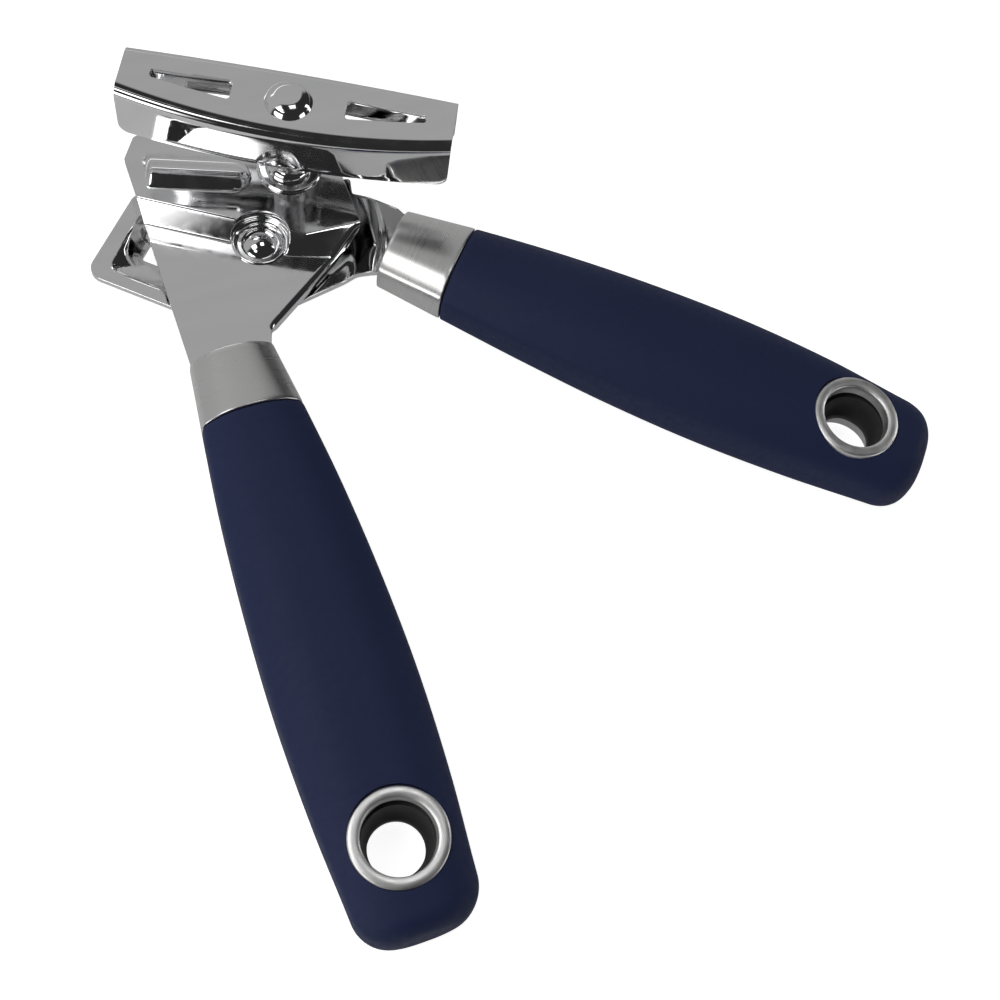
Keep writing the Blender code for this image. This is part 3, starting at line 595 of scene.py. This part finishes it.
def joggle_ends(along):
    """Where the ramp starts and ends, across its own direction. It fans out towards the right-hand edge."""
    start = JOGGLE_START + 0.2 * max(0.0, along - 8 * MM)
    end = JOGGLE_END + 0.6 * max(0.0, along - 11 * MM)
    return start, end


def joggle_height(point):
    along = point.x * math.cos(JOGGLE_ANGLE) + point.y * math.sin(JOGGLE_ANGLE)
    across = point.y * math.cos(JOGGLE_ANGLE) - point.x * math.sin(JOGGLE_ANGLE)
    start, end = joggle_ends(along)
    share = (across - start) / (end - start)
    return FRONT_LOW + (FRONT_HIGH - FRONT_LOW) * round_step(share, 0.06)


def joggle_creases():
    """Lines along both bends of the joggle, for crisp folds."""
    along = Vector((math.cos(JOGGLE_ANGLE), math.sin(JOGGLE_ANGLE)))
    across = Vector((-along.y, along.x))
    places = between(-38 * MM, 32 * MM, 150)
    shifts = (-0.36 * MM, -0.2 * MM, 0.0, 0.2 * MM, 0.36 * MM)
    lines = [
        [along * x + across * (joggle_ends(x)[i] + shift) for x in places]
        for i in (0, 1)
        for shift in shifts
    ]
    clear = []
    for line in lines:
        outside_pad = [point for point in line if point.length > PAD_EDGE + 0.3 * MM]
        clear.append([point for point in outside_pad if point.x < 0])
        clear.append([point for point in outside_pad if point.x > 0])
    return clear


# The front plate's corners (x, y, radius) in millimetres, then its rolled lip and its rib.
FRONT_CORNERS = (
    (-25.6, 31.2, 1.5),
    (-21.6, 37.5, 1.5),
    (12.0, 37.5, 2.5),
    (25.0, 24.0, 2.5),
    (25.1, -3.4, 1.5),
    (-4.6, -25.2, 2.5),
    (-6.1, -PLATE_END, 0),
    (-25.7, -PLATE_END, 0),
    (-25.6, 12.0, 0),
)
LIP_START = Vector((24.4, -3.9)) * MM
LIP_END = Vector((-3.9, -24.7)) * MM
LIP_BEND = 1.3 * MM
BEAD_START = Vector((-21.6, 25.5)) * MM
BEAD_END = Vector((2.6, 17.2)) * MM
BEAD_HALF = 4.9 * MM
BEAD_HEIGHT = 1.7 * MM


def lip_drop(point):
    """How far the slanting edge is rolled down at this point."""
    along = (LIP_END - LIP_START).normalized()
    outward = Vector((-along.y, along.x))
    edge = max(0.0, -(point - LIP_START).dot(outward))
    ends = min((point - LIP_START).dot(along), (LIP_END - point).dot(along))
    if edge >= LIP_BEND or ends < -1.5 * MM:
        return 0.0
    full = LIP_BEND - math.sqrt(max(0.0, LIP_BEND**2 - (LIP_BEND - edge) ** 2))
    return full * ease((ends + 1.5 * MM) / (3 * MM))


def bead_height(point):
    """The half-round rib beside the bushing, square at the edge of the plate and rounded at the bushing."""
    along = (BEAD_END - BEAD_START).normalized()
    across = abs((point - BEAD_START).dot(Vector((-along.y, along.x))))
    distance = (point - BEAD_START).dot(along)
    length = (BEAD_END - BEAD_START).length
    nose = clamp((distance - (length - BEAD_HALF)) / BEAD_HALF)
    width = BEAD_HALF * math.sqrt(max(0.0, 1 - nose**2))
    if distance <= 0 or across >= width or width < 0.2 * MM:
        return 0.0
    crest = math.cos(math.pi / 2 * across / width) ** 1.9
    return BEAD_HEIGHT * crest * ease(distance / (1.3 * MM)) * ease((1 - nose) * 2)


def pad_height(radius, plate):
    """The dish at the pivot, from its floor over its raised rim and out to the plate."""
    if radius < PAD_WALL:
        climb = ease((radius - PAD_RADIUS) / (PAD_WALL - PAD_RADIUS))
        return PAD_FLOOR + (FRONT_LOW - PAD_FLOOR) * climb
    if radius < PAD_RIM:
        half = (PAD_RIM - PAD_WALL) / 2
        return FRONT_LOW + PAD_RIM_HEIGHT * math.cos(math.pi / 2 * (radius - PAD_WALL - half) / half)
    return FRONT_LOW + (plate - FRONT_LOW) * ease((radius - PAD_RIM) / (PAD_EDGE - PAD_RIM))


def front_height(point):
    plate = joggle_height(point) - lip_drop(point) + bead_height(point)
    radius = point.length
    return pad_height(radius, plate) if radius < PAD_EDGE else plate


def pad_circles():
    """Close circles round the pivot, so that the dish's wall and rim are smooth."""
    radii = [4.5 * MM, PAD_RADIUS - 0.1 * MM]
    radii += between(PAD_RADIUS, PAD_WALL, 5)
    radii += between(PAD_WALL + 0.08 * MM, PAD_RIM, 10)
    radii += between(PAD_RIM + 0.07 * MM, PAD_EDGE, 5)
    radii += [PAD_EDGE + 0.1 * MM]
    return [circle(radius, 0.3 * MM) for radius in radii]


def front_plate():
    edge = rounded(FRONT_CORNERS)
    loops = pad_circles()
    for inset in (0.12, 0.3, 0.55, 0.85, 1.3):
        loops.append(spaced(inset_loop(edge, inset * MM), PLATE_EDGE_STEP))
    plate = pressed_sheet(
        "front_pressing",
        spaced(edge, PLATE_EDGE_STEP),
        loops,
        holes=[circle(3.2 * MM, 0.4 * MM)],
        height=front_height,
        thickness=SHEET,
        spacing=0.42 * MM,
        angle=JOGGLE_ANGLE,
        creases=joggle_creases(),
    )
    return bevelled(plate, PLATE_ROUNDING, segments=2)


# The rear plate


def neck_height(point):
    """Flat under the front plate, then up to the neck, which is a shallow channel with raised edges."""
    share = 0.0
    if point.y < 0 and point.x > 0:
        share = ease((point.length - NECK_START) / NECK_RUN)
    edge = clamp((abs(point.x - NECK_MIDDLE) - 2.0 * MM) / (9.0 * MM))
    return REAR_TOP + (NECK_TOP - REAR_TOP) * share + CHANNEL_DEPTH * share * (edge**2 - 0.25)


# The bottle opener in the rear plate: a triangular rim and a hole in it.
OPENER_RIM = rounded([(0.4, 31.3, 1.2), (-20.5, 31.3, 2.4), (-20.5, 6.1, 1.2)], 6)
OPENER_HOLE = rounded([(-6.2, 26.7, 0.8), (-12.8, 26.7, 1.2), (-12.8, 18.8, 0.8)], 6)


def opener_height(point):
    """The walls of the bottle opener slope from a rolled rim down to the hole."""
    if not inside(point, OPENER_RIM):
        return 0.0
    depth = (point - nearest_on(OPENER_RIM, point)).length
    to_hole = (point - nearest_on(OPENER_HOLE, point)).length
    share = depth / (depth + to_hole)
    return -OPENER_DEPTH * round_step(share * 1.12 - 0.03, 0.1)


def rear_height(point):
    return neck_height(point) + opener_height(point)


def rear_outline():
    """The rear plate's edge: the opener, the slanting side, the neck, a hooked corner and a round lobe."""
    around = rounded([
        (0.0, 35.8, 0),
        (-23.9, 35.8, 4.0),
        (-23.9, -4.0, 3.0),
        (3.6, -24.6, 2.5),
        (4.4, -PLATE_END, 0),
        (22.9, -PLATE_END, 0),
        (24.1, -27.0, 0),
        (24.3, -14.4, 1.0),
        (27.6, -12.4, 1.2),
        (26.5, -9.0, 1.2),
        (15.4, -5.2, 0),
    ])
    lobe = [Vector(p) for p in arc((0, 0), 16.2 * MM, math.radians(-14), math.radians(62), 24)]
    shoulder = rounded([(7.6, 14.3, 0), (4.0, 22.0, 0), (4.0, 35.8, 3.0), (0.0, 35.8, 0)])[1:-1]
    return around + lobe + shoulder


def opener_loop(share):
    """The opener's rim moved this share of the way to its hole."""
    rim = spaced(OPENER_RIM, 0.4 * MM)
    return [point.lerp(nearest_on(OPENER_HOLE, point), share) for point in rim]


def stud_hole():
    stud = Matrix.Rotation(-OPEN_ANGLE, 2) @ STUD_PLACE
    return [point + stud for point in circle(2.8 * MM, 0.4 * MM)]


def rear_plate():
    plate = pressed_sheet(
        "rear_pressing",
        spaced(rear_outline(), PLATE_EDGE_STEP),
        loops=[opener_loop(share) for share in (0.0, 0.04, 0.09, 0.15, 0.3, 0.5, 0.75, 0.9)],
        holes=[spaced(OPENER_HOLE, 0.35 * MM), circle(3.3 * MM, 0.4 * MM), stud_hole()],
        height=rear_height,
        thickness=REAR_SHEET,
        spacing=0.5 * MM,
    )
    return bevelled(plate, PLATE_ROUNDING, segments=2)


# The key


def key_section(along):
    """The channel of the key at this distance along it: outside from flange to flange, then back inside."""
    share = (along / KEY_HALF_LENGTH) ** 2
    half = KEY_HALF_WIDTH - KEY_NARROWING * share
    top = KEY_TOP + KEY_TOP_RISE * share
    past = clamp((abs(along) - (KEY_HALF_LENGTH - KEY_CORNER)) / KEY_CORNER) * KEY_CORNER
    bottom = KEY_BOTTOM + KEY_BOTTOM_RISE * share + KEY_CORNER - math.sqrt(KEY_CORNER**2 - past**2)
    flat_half = half - KEY_BEND
    outer = arc((flat_half, top - KEY_BEND), KEY_BEND, 0, math.pi / 2, 12)
    inner = arc((flat_half, top - KEY_BEND), KEY_BEND - KEY_SHEET, 0, math.pi / 2, 8)
    climb = between(bottom, top - KEY_BEND, 6)[:-1]
    right_outer = [(half, z) for z in climb] + outer
    right_inner = [(half - KEY_SHEET, z) for z in climb] + inner
    top_run = [(u * flat_half, top) for u in (0.66, 0.33, 0, -0.33, -0.66)]
    under_run = [(u, z - KEY_SHEET) for u, z in top_run]
    left_outer = [(-x, z) for x, z in reversed(right_outer)]
    left_inner = [(-x, z) for x, z in reversed(right_inner)]
    ring = right_outer + top_run + left_outer + left_inner[::-1] + under_run[::-1] + right_inner[::-1]
    return [(along, y, z) for y, z in ring]


def key_slot(side):
    """A cutter for the tapered slot on this side of the key's rivet, which is -1 or 1."""
    corners = [(13.8, -2.6, 0.9), (33.0, -0.9, 0.7), (33.0, 1.2, 0.7), (13.8, 3.1, 0.9)]
    outline = [Vector((p.x * side, p.y)) for p in rounded(corners, 6)]
    below = 39 * MM
    above = 52 * MM
    return lofted("slot", [[(p.x, p.y, z) for p in outline] for z in (below, above)])


def key_handle():
    half = between(0, KEY_HALF_LENGTH - KEY_CORNER, 26)[1:-1] + round_end(KEY_HALF_LENGTH, KEY_CORNER, 8)
    stations = [-x for x in reversed(half)] + [0.0] + half
    key = lofted("turning_key", [key_section(along) for along in stations])
    return bevelled(cut(key, key_slot(-1), key_slot(1)), 0.18 * MM, angle=60.0)


def key_rivet():
    seat = KEY_TOP + 0.05 * MM
    top = seat + 2.3 * MM
    profile = [(0, top), (3.1 * MM, top), (4.9 * MM, seat + 1.5 * MM), (5.8 * MM, seat), (0, seat)]
    return turned("key_rivet_dome", fillet(profile, (0.5 * MM, 1.1 * MM, 0.05 * MM)), angle=60.0)


def key_bushing():
    """The key's bearing: a domed collar on a flange with a full round edge."""
    low, high = heights_of("key_bushing")
    seat = FRONT_HIGH + 0.05 * MM
    foot = seat + 0.95 * MM
    quarter = between(0.0, math.pi / 2, 12)
    bore = 3.3 * MM
    shank = 4.6 * MM
    edge = 0.9 * MM
    collar = [(bore + 2.8 * MM * math.sin(a), foot + (high - foot) * math.cos(a)) for a in quarter]
    rim = [(7.3 * MM + edge * math.sin(a), seat + edge * math.cos(a)) for a in quarter]
    return turned("key_bearing", collar + rim + [(shank, seat), (shank, low), (bore, low)], angle=45.0)


def pivot_rivet():
    """A rivet whose upper head is a cap of a sphere. Its shank runs down to a flat lower head."""
    radius = 4.7 * MM
    rise = 2.4 * MM
    sphere = (radius**2 + rise**2) / (2 * rise)
    slope = math.asin(radius / sphere)
    top = PAD_FLOOR + rise
    dome = [(sphere * math.sin(a), top - sphere * (1 - math.cos(a))) for a in between(0, slope, 20)]
    shank = 3.0 * MM
    low = heights_of("pivot_rivet")[0]
    head = 7.9 * MM
    lower_head = [(4.2 * MM, head), (4.0 * MM, low + 0.3 * MM), (0, low)]
    profile = dome + [(shank, PAD_FLOOR), (shank, head)] + lower_head
    return turned("pivot_rivet_dome", profile, angle=50.0)


# Materials


def shader(name):
    made = bpy.data.materials.new(name)
    made.use_nodes = True
    return made, made.node_tree.nodes, made.node_tree.links, made.node_tree.nodes["Principled BSDF"]


def noise(nodes, links, scale, detail=4.0, stretch=None, turn=0.0):
    """A noise pattern in the object's own space, turned and drawn out along an axis if stretch says so."""
    place = nodes.new("ShaderNodeTexCoord")
    texture = nodes.new("ShaderNodeTexNoise")
    texture.inputs["Scale"].default_value = scale
    texture.inputs["Detail"].default_value = detail
    source = place.outputs["Object"]
    if stretch:
        mapping = nodes.new("ShaderNodeMapping")
        mapping.vector_type = "TEXTURE"
        mapping.inputs["Rotation"].default_value = (0, 0, turn)
        mapping.inputs["Scale"].default_value = [1 / share for share in stretch]
        links.new(source, mapping.inputs["Vector"])
        source = mapping.outputs["Vector"]
    links.new(source, texture.inputs["Vector"])
    return texture.outputs["Fac"]


def ranged(nodes, links, value, low, high, start=0.35, end=0.65):
    node = nodes.new("ShaderNodeMapRange")
    node.inputs["From Min"].default_value = start
    node.inputs["From Max"].default_value = end
    node.inputs["To Min"].default_value = low
    node.inputs["To Max"].default_value = high
    links.new(value, node.inputs["Value"])
    return node.outputs["Result"]


def blended(nodes, links, factor, first, second):
    node = nodes.new("ShaderNodeMix")
    node.data_type = "RGBA"
    node.inputs["A"].default_value = (*first, 1)
    node.inputs["B"].default_value = (*second, 1)
    links.new(factor, node.inputs["Factor"])
    return node.outputs["Result"]


def bumped(nodes, links, shade, height, strength, distance):
    node = nodes.new("ShaderNodeBump")
    node.inputs["Strength"].default_value = strength
    node.inputs["Distance"].default_value = distance
    links.new(height, node.inputs["Height"])
    links.new(node.outputs["Normal"], shade.inputs["Normal"])


def chrome_look():
    """Bright plating with faint waviness, long streaks of tone and hazy patches."""
    made, nodes, links, shade = shader("bright_chrome")
    shade.inputs["Metallic"].default_value = 1.0
    streaks = noise(nodes, links, 60.0, 6.0, (0.22, 3.0, 1.0))
    colour = blended(nodes, links, streaks, (0.77, 0.77, 0.775), (0.90, 0.90, 0.905))
    links.new(colour, shade.inputs["Base Color"])
    links.new(ranged(nodes, links, noise(nodes, links, 240.0, 6.0), 0.03, 0.10), shade.inputs["Roughness"])
    bumped(nodes, links, shade, noise(nodes, links, 110.0, 2.0), 0.10, 0.00008)
    return made


def satin_look(name, turn):
    """Stainless steel brushed round a handle that lies at this angle, in very fine lines."""
    made, nodes, links, shade = shader(name)
    shade.inputs["Metallic"].default_value = 1.0
    lines = noise(nodes, links, 260.0, 6.0, (0.08, 9.0, 0.08), turn)
    cloud = noise(nodes, links, 70.0, 3.0)
    colour = blended(nodes, links, cloud, (0.70, 0.695, 0.69), (0.78, 0.775, 0.77))
    links.new(colour, shade.inputs["Base Color"])
    links.new(ranged(nodes, links, lines, 0.27, 0.30), shade.inputs["Roughness"])
    bumped(nodes, links, shade, lines, 0.02, 0.00002)
    return made


def ring_look():
    """The eyelets' brighter satin, which has a fine grain and no brushed direction."""
    made, nodes, links, shade = shader("eyelet_satin")
    shade.inputs["Metallic"].default_value = 1.0
    grain = noise(nodes, links, 420.0, 4.0)
    colour = blended(nodes, links, grain, (0.90, 0.895, 0.89), (0.97, 0.965, 0.96))
    links.new(colour, shade.inputs["Base Color"])
    links.new(ranged(nodes, links, grain, 0.36, 0.44), shade.inputs["Roughness"])
    bumped(nodes, links, shade, grain, 0.04, 0.00002)
    return made


def steel_look():
    """Machined, zinc-plated steel of the hidden works."""
    made, nodes, links, shade = shader("plain_steel")
    shade.inputs["Metallic"].default_value = 1.0
    tone = noise(nodes, links, 300.0, 5.0)
    colour = blended(nodes, links, tone, (0.44, 0.44, 0.45), (0.62, 0.62, 0.62))
    links.new(colour, shade.inputs["Base Color"])
    links.new(ranged(nodes, links, tone, 0.22, 0.38), shade.inputs["Roughness"])
    bumped(nodes, links, shade, noise(nodes, links, 1500.0), 0.1, 0.00003)
    return made


def grip_look():
    """Soft-touch moulding: matte navy with a fine grain."""
    made, nodes, links, shade = shader("soft_navy_grip")
    tone = noise(nodes, links, 45.0, 3.0)
    colour = blended(nodes, links, tone, (0.0175, 0.0265, 0.082), (0.0215, 0.0315, 0.094))
    links.new(colour, shade.inputs["Base Color"])
    links.new(ranged(nodes, links, noise(nodes, links, 700.0), 0.52, 0.64), shade.inputs["Roughness"])
    shade.inputs["Specular IOR Level"].default_value = 0.22
    bumped(nodes, links, shade, noise(nodes, links, 2600.0, 3.0), 0.16, 0.00005)
    return made


def plastic_look(name, dark, light, roughness):
    """Moulded plastic with a slight grain."""
    made, nodes, links, shade = shader(name)
    tone = noise(nodes, links, 120.0, 4.0)
    links.new(blended(nodes, links, tone, dark, light), shade.inputs["Base Color"])
    links.new(ranged(nodes, links, tone, roughness - 0.06, roughness + 0.06), shade.inputs["Roughness"])
    bumped(nodes, links, shade, noise(nodes, links, 2200.0, 3.0), 0.15, 0.00004)
    return made


def floor_look():
    """A pale table. Its glow thins the shadows the camera sees, and is dim in what the metal mirrors."""
    made, nodes, links, shade = shader("pale_table")
    tone = noise(nodes, links, 8.0, 2.0)
    colour = blended(nodes, links, tone, (0.70, 0.70, 0.70), (0.74, 0.74, 0.74))
    links.new(colour, shade.inputs["Base Color"])
    shade.inputs["Roughness"].default_value = 0.9
    shade.inputs["Specular IOR Level"].default_value = 0.1
    shade.inputs["Emission Color"].default_value = (1, 1, 1, 1)
    path = nodes.new("ShaderNodeLightPath")
    glow = ranged(nodes, links, path.outputs["Is Camera Ray"], 0.12, 0.9, 0.0, 1.0)
    links.new(glow, shade.inputs["Emission Strength"])
    return made


looks = {
    "bright_chrome": chrome_look(),
    "satin_steel": satin_look("front_brushed_satin", 0.0),
    "rear_satin_steel": satin_look("rear_brushed_satin", OPEN_ANGLE),
    "plain_steel": steel_look(),
    "eyelet_satin": ring_look(),
    "soft_navy_grip": grip_look(),
    "black_nylon": plastic_look("black_nylon", (0.006, 0.006, 0.007), (0.011, 0.011, 0.012), 0.5),
    "dark_grey_liner": plastic_look("dark_grey_liner", (0.038, 0.038, 0.041), (0.052, 0.052, 0.055), 0.42),
}


def paint_nodes():
    """Gives every CAD node that still shows the look of its slot."""
    slots = {row["node"]: row["material_slot"] for row in frame["record"]["subparts"]}
    for name, obj in frame["nodes"].items():
        obj.data.materials.clear()
        obj.data.materials.append(looks[slots[name]])


HANDLES = (
    ("front", "front_lever", FRONT, FRONT_OFFSET, "satin_steel"),
    ("rear", "rear_lever", REAR, REAR_OFFSET, "rear_satin_steel"),
)


def build():
    for side, body, matrix, offset, satin in HANDLES:
        place = matrix @ Matrix.Translation((offset, 0, 0))
        placed(grip(side), place, body, "soft_navy_grip", side + "_grip")
        placed(ferrule(side), place, body, "satin_steel", side + "_ferrule", look=satin)
        upper = eyelet_ring(side + "_upper_eyelet", UPPER_RING)
        placed(upper, place, body, "satin_steel", side + "_ring_top", look="eyelet_satin")
        lower = eyelet_ring(side + "_lower_eyelet", LOWER_RING)
        placed(lower, place, body, "satin_steel", side + "_ring_bottom", look="eyelet_satin")
        placed(hole_liner(side), place, body, "dark_grey_liner", side + "_hole_liner")
    shaft = FRONT @ Matrix.Translation((SHAFT.x, SHAFT.y, 0))
    key = shaft @ Matrix.Rotation(KEY_ANGLE, 4, "Z")
    placed(front_plate(), FRONT, "front_lever", "bright_chrome", "front_plate")
    placed(rear_plate(), REAR, "rear_lever", "bright_chrome", "rear_plate")
    placed(pivot_rivet(), FRONT, "front_lever", "bright_chrome", "pivot_rivet")
    placed(key_bushing(), shaft, "front_lever", "bright_chrome", "key_bushing")
    placed(key_handle(), key, "drive", "bright_chrome", "key_handle")
    placed(key_rivet(), shaft, "drive", "bright_chrome", "key_rivet_head")


# Studio


def soft_edges(light, edge):
    """Makes a softbox fade towards all four of its sides over this share of its size."""
    light.use_nodes = True
    nodes = light.node_tree.nodes
    links = light.node_tree.links
    place = nodes.new("ShaderNodeNewGeometry")
    split = nodes.new("ShaderNodeSeparateXYZ")
    links.new(place.outputs["Parametric"], split.inputs["Vector"])
    product = None
    for axis in ("X", "Y"):
        for start, end in ((0.0, edge), (1.0, 1.0 - edge)):
            fade = ranged(nodes, links, split.outputs[axis], 0.0, 1.0, start, end)
            fade.node.interpolation_type = "SMOOTHSTEP"
            if product:
                times = nodes.new("ShaderNodeMath")
                times.operation = "MULTIPLY"
                links.new(product, times.inputs[0])
                links.new(fade, times.inputs[1])
                fade = times.outputs["Value"]
            product = fade
    links.new(product, nodes["Emission"].inputs["Strength"])


def area_light(name, azimuth, elevation, distance, width, height, radiance, edge):
    """A softbox that hangs in this direction from the pivot, in degrees, and faces it."""
    light = bpy.data.lights.new(name, "AREA")
    light.shape = "RECTANGLE"
    light.size = width
    light.size_y = height
    light.energy = radiance * math.pi * width * height
    soft_edges(light, edge)
    level = math.cos(math.radians(elevation))
    direction = Vector((
        level * math.cos(math.radians(azimuth)),
        level * math.sin(math.radians(azimuth)),
        math.sin(math.radians(elevation)),
    ))
    obj = bpy.data.objects.new(name, light)
    obj.location = Vector((PIVOT.x, PIVOT.y, 0)) + direction * distance
    obj.rotation_euler = direction.to_track_quat("Z", "Y").to_euler()
    bpy.context.scene.collection.objects.link(obj)


# Name, azimuth, elevation, distance, width, height, radiance and soft share of each softbox's edges.
SOFTBOXES = (
    ("ceiling_softbox", 0.0, 80.0, 0.7, 0.20, 0.20, 3.0, 0.1),
    ("left_window", 183.0, 61.0, 0.7, 0.31, 0.34, 5.0, 0.3),
    ("front_window", 216.0, 52.0, 0.75, 0.22, 0.16, 3.0, 0.2),
    ("left_wall", 207.0, 18.0, 0.8, 0.60, 0.32, 2.8, 0.15),
    ("right_wall", 312.0, 5.0, 0.8, 0.36, 0.22, 2.0, 0.1),
    ("right_window", 352.0, 18.0, 0.8, 0.16, 0.50, 2.2, 0.1),
    ("back_strip", 95.0, 33.0, 0.8, 0.70, 0.08, 1.6, 0.3),
)


def toward(nodes, links, direction, low, high, start, end):
    """Ranges from low to high as the world's direction comes round to this one."""
    place = nodes.new("ShaderNodeTexCoord")
    product = nodes.new("ShaderNodeVectorMath")
    product.operation = "DOT_PRODUCT"
    product.inputs[1].default_value = Vector(direction).normalized()
    links.new(place.outputs["Generated"], product.inputs[0])
    made = ranged(nodes, links, product.outputs["Value"], low, high, start, end)
    made.node.interpolation_type = "SMOOTHSTEP"
    return made


def studio_world():
    """A white backdrop. The metal mirrors a dim room, mid-grey behind, and a table dark to the front."""
    world = bpy.data.worlds.new("studio")
    world.use_nodes = True
    nodes = world.node_tree.nodes
    links = world.node_tree.links
    sky = toward(nodes, links, (-0.35, 0.93, 0.1), 0.025, 0.39, 0.30, 0.47)
    table = toward(nodes, links, (0.0, 1.0, 0.0), 0.03, 0.55, -0.75, -0.2)
    above_horizon = toward(nodes, links, (0.0, 0.0, 1.0), 0.0, 1.0, -0.08, 0.0)
    mix = nodes.new("ShaderNodeMix")
    links.new(above_horizon, mix.inputs["Factor"])
    links.new(table, mix.inputs["A"])
    links.new(sky, mix.inputs["B"])
    shown = nodes.new("ShaderNodeMix")
    shown.inputs["B"].default_value = 1.0
    links.new(nodes.new("ShaderNodeLightPath").outputs["Is Camera Ray"], shown.inputs["Factor"])
    links.new(mix.outputs["Result"], shown.inputs["A"])
    links.new(shown.outputs["Result"], nodes["Background"].inputs["Color"])
    return world


def studio():
    scene = bpy.context.scene
    scene.view_settings.view_transform = "Standard"
    scene.world = studio_world()

    # The floor lies just under the part, so that the two never share a plane.
    bpy.ops.mesh.primitive_grid_add(x_subdivisions=8, y_subdivisions=8, size=3.0, location=(0, 0, -0.0004))
    floor = bpy.context.active_object
    floor.name = "studio_floor"
    floor.data.materials.append(floor_look())
    for row in SOFTBOXES:
        area_light(*row)


# The camera's place from the pivot in millimetres, the way it looks and its upper side, as fitted.
CAMERA_PLACE = (-57.93, -221.20, 337.43)
CAMERA_FORWARD = (0.2497, 0.378, -0.8915)
CAMERA_UP = (0.2684, 0.8576, 0.4388)
FOCAL_LENGTH = 55.9


def camera():
    lens = bpy.data.cameras.new("camera")
    lens.lens = FOCAL_LENGTH
    lens.sensor_width = 36.0
    lens.clip_start = 0.01
    obj = bpy.data.objects.new("camera", lens)
    bpy.context.scene.collection.objects.link(obj)
    forward = Vector(CAMERA_FORWARD).normalized()
    right = forward.cross(Vector(CAMERA_UP)).normalized()
    up = right.cross(forward)
    turn = Matrix((right, up, -forward)).transposed().to_4x4()
    place = PIVOT + Vector(CAMERA_PLACE) * MM
    obj.matrix_world = Matrix.Translation(place) @ turn
    bpy.context.scene.camera = obj


paint_nodes()
build()
studio()
camera()
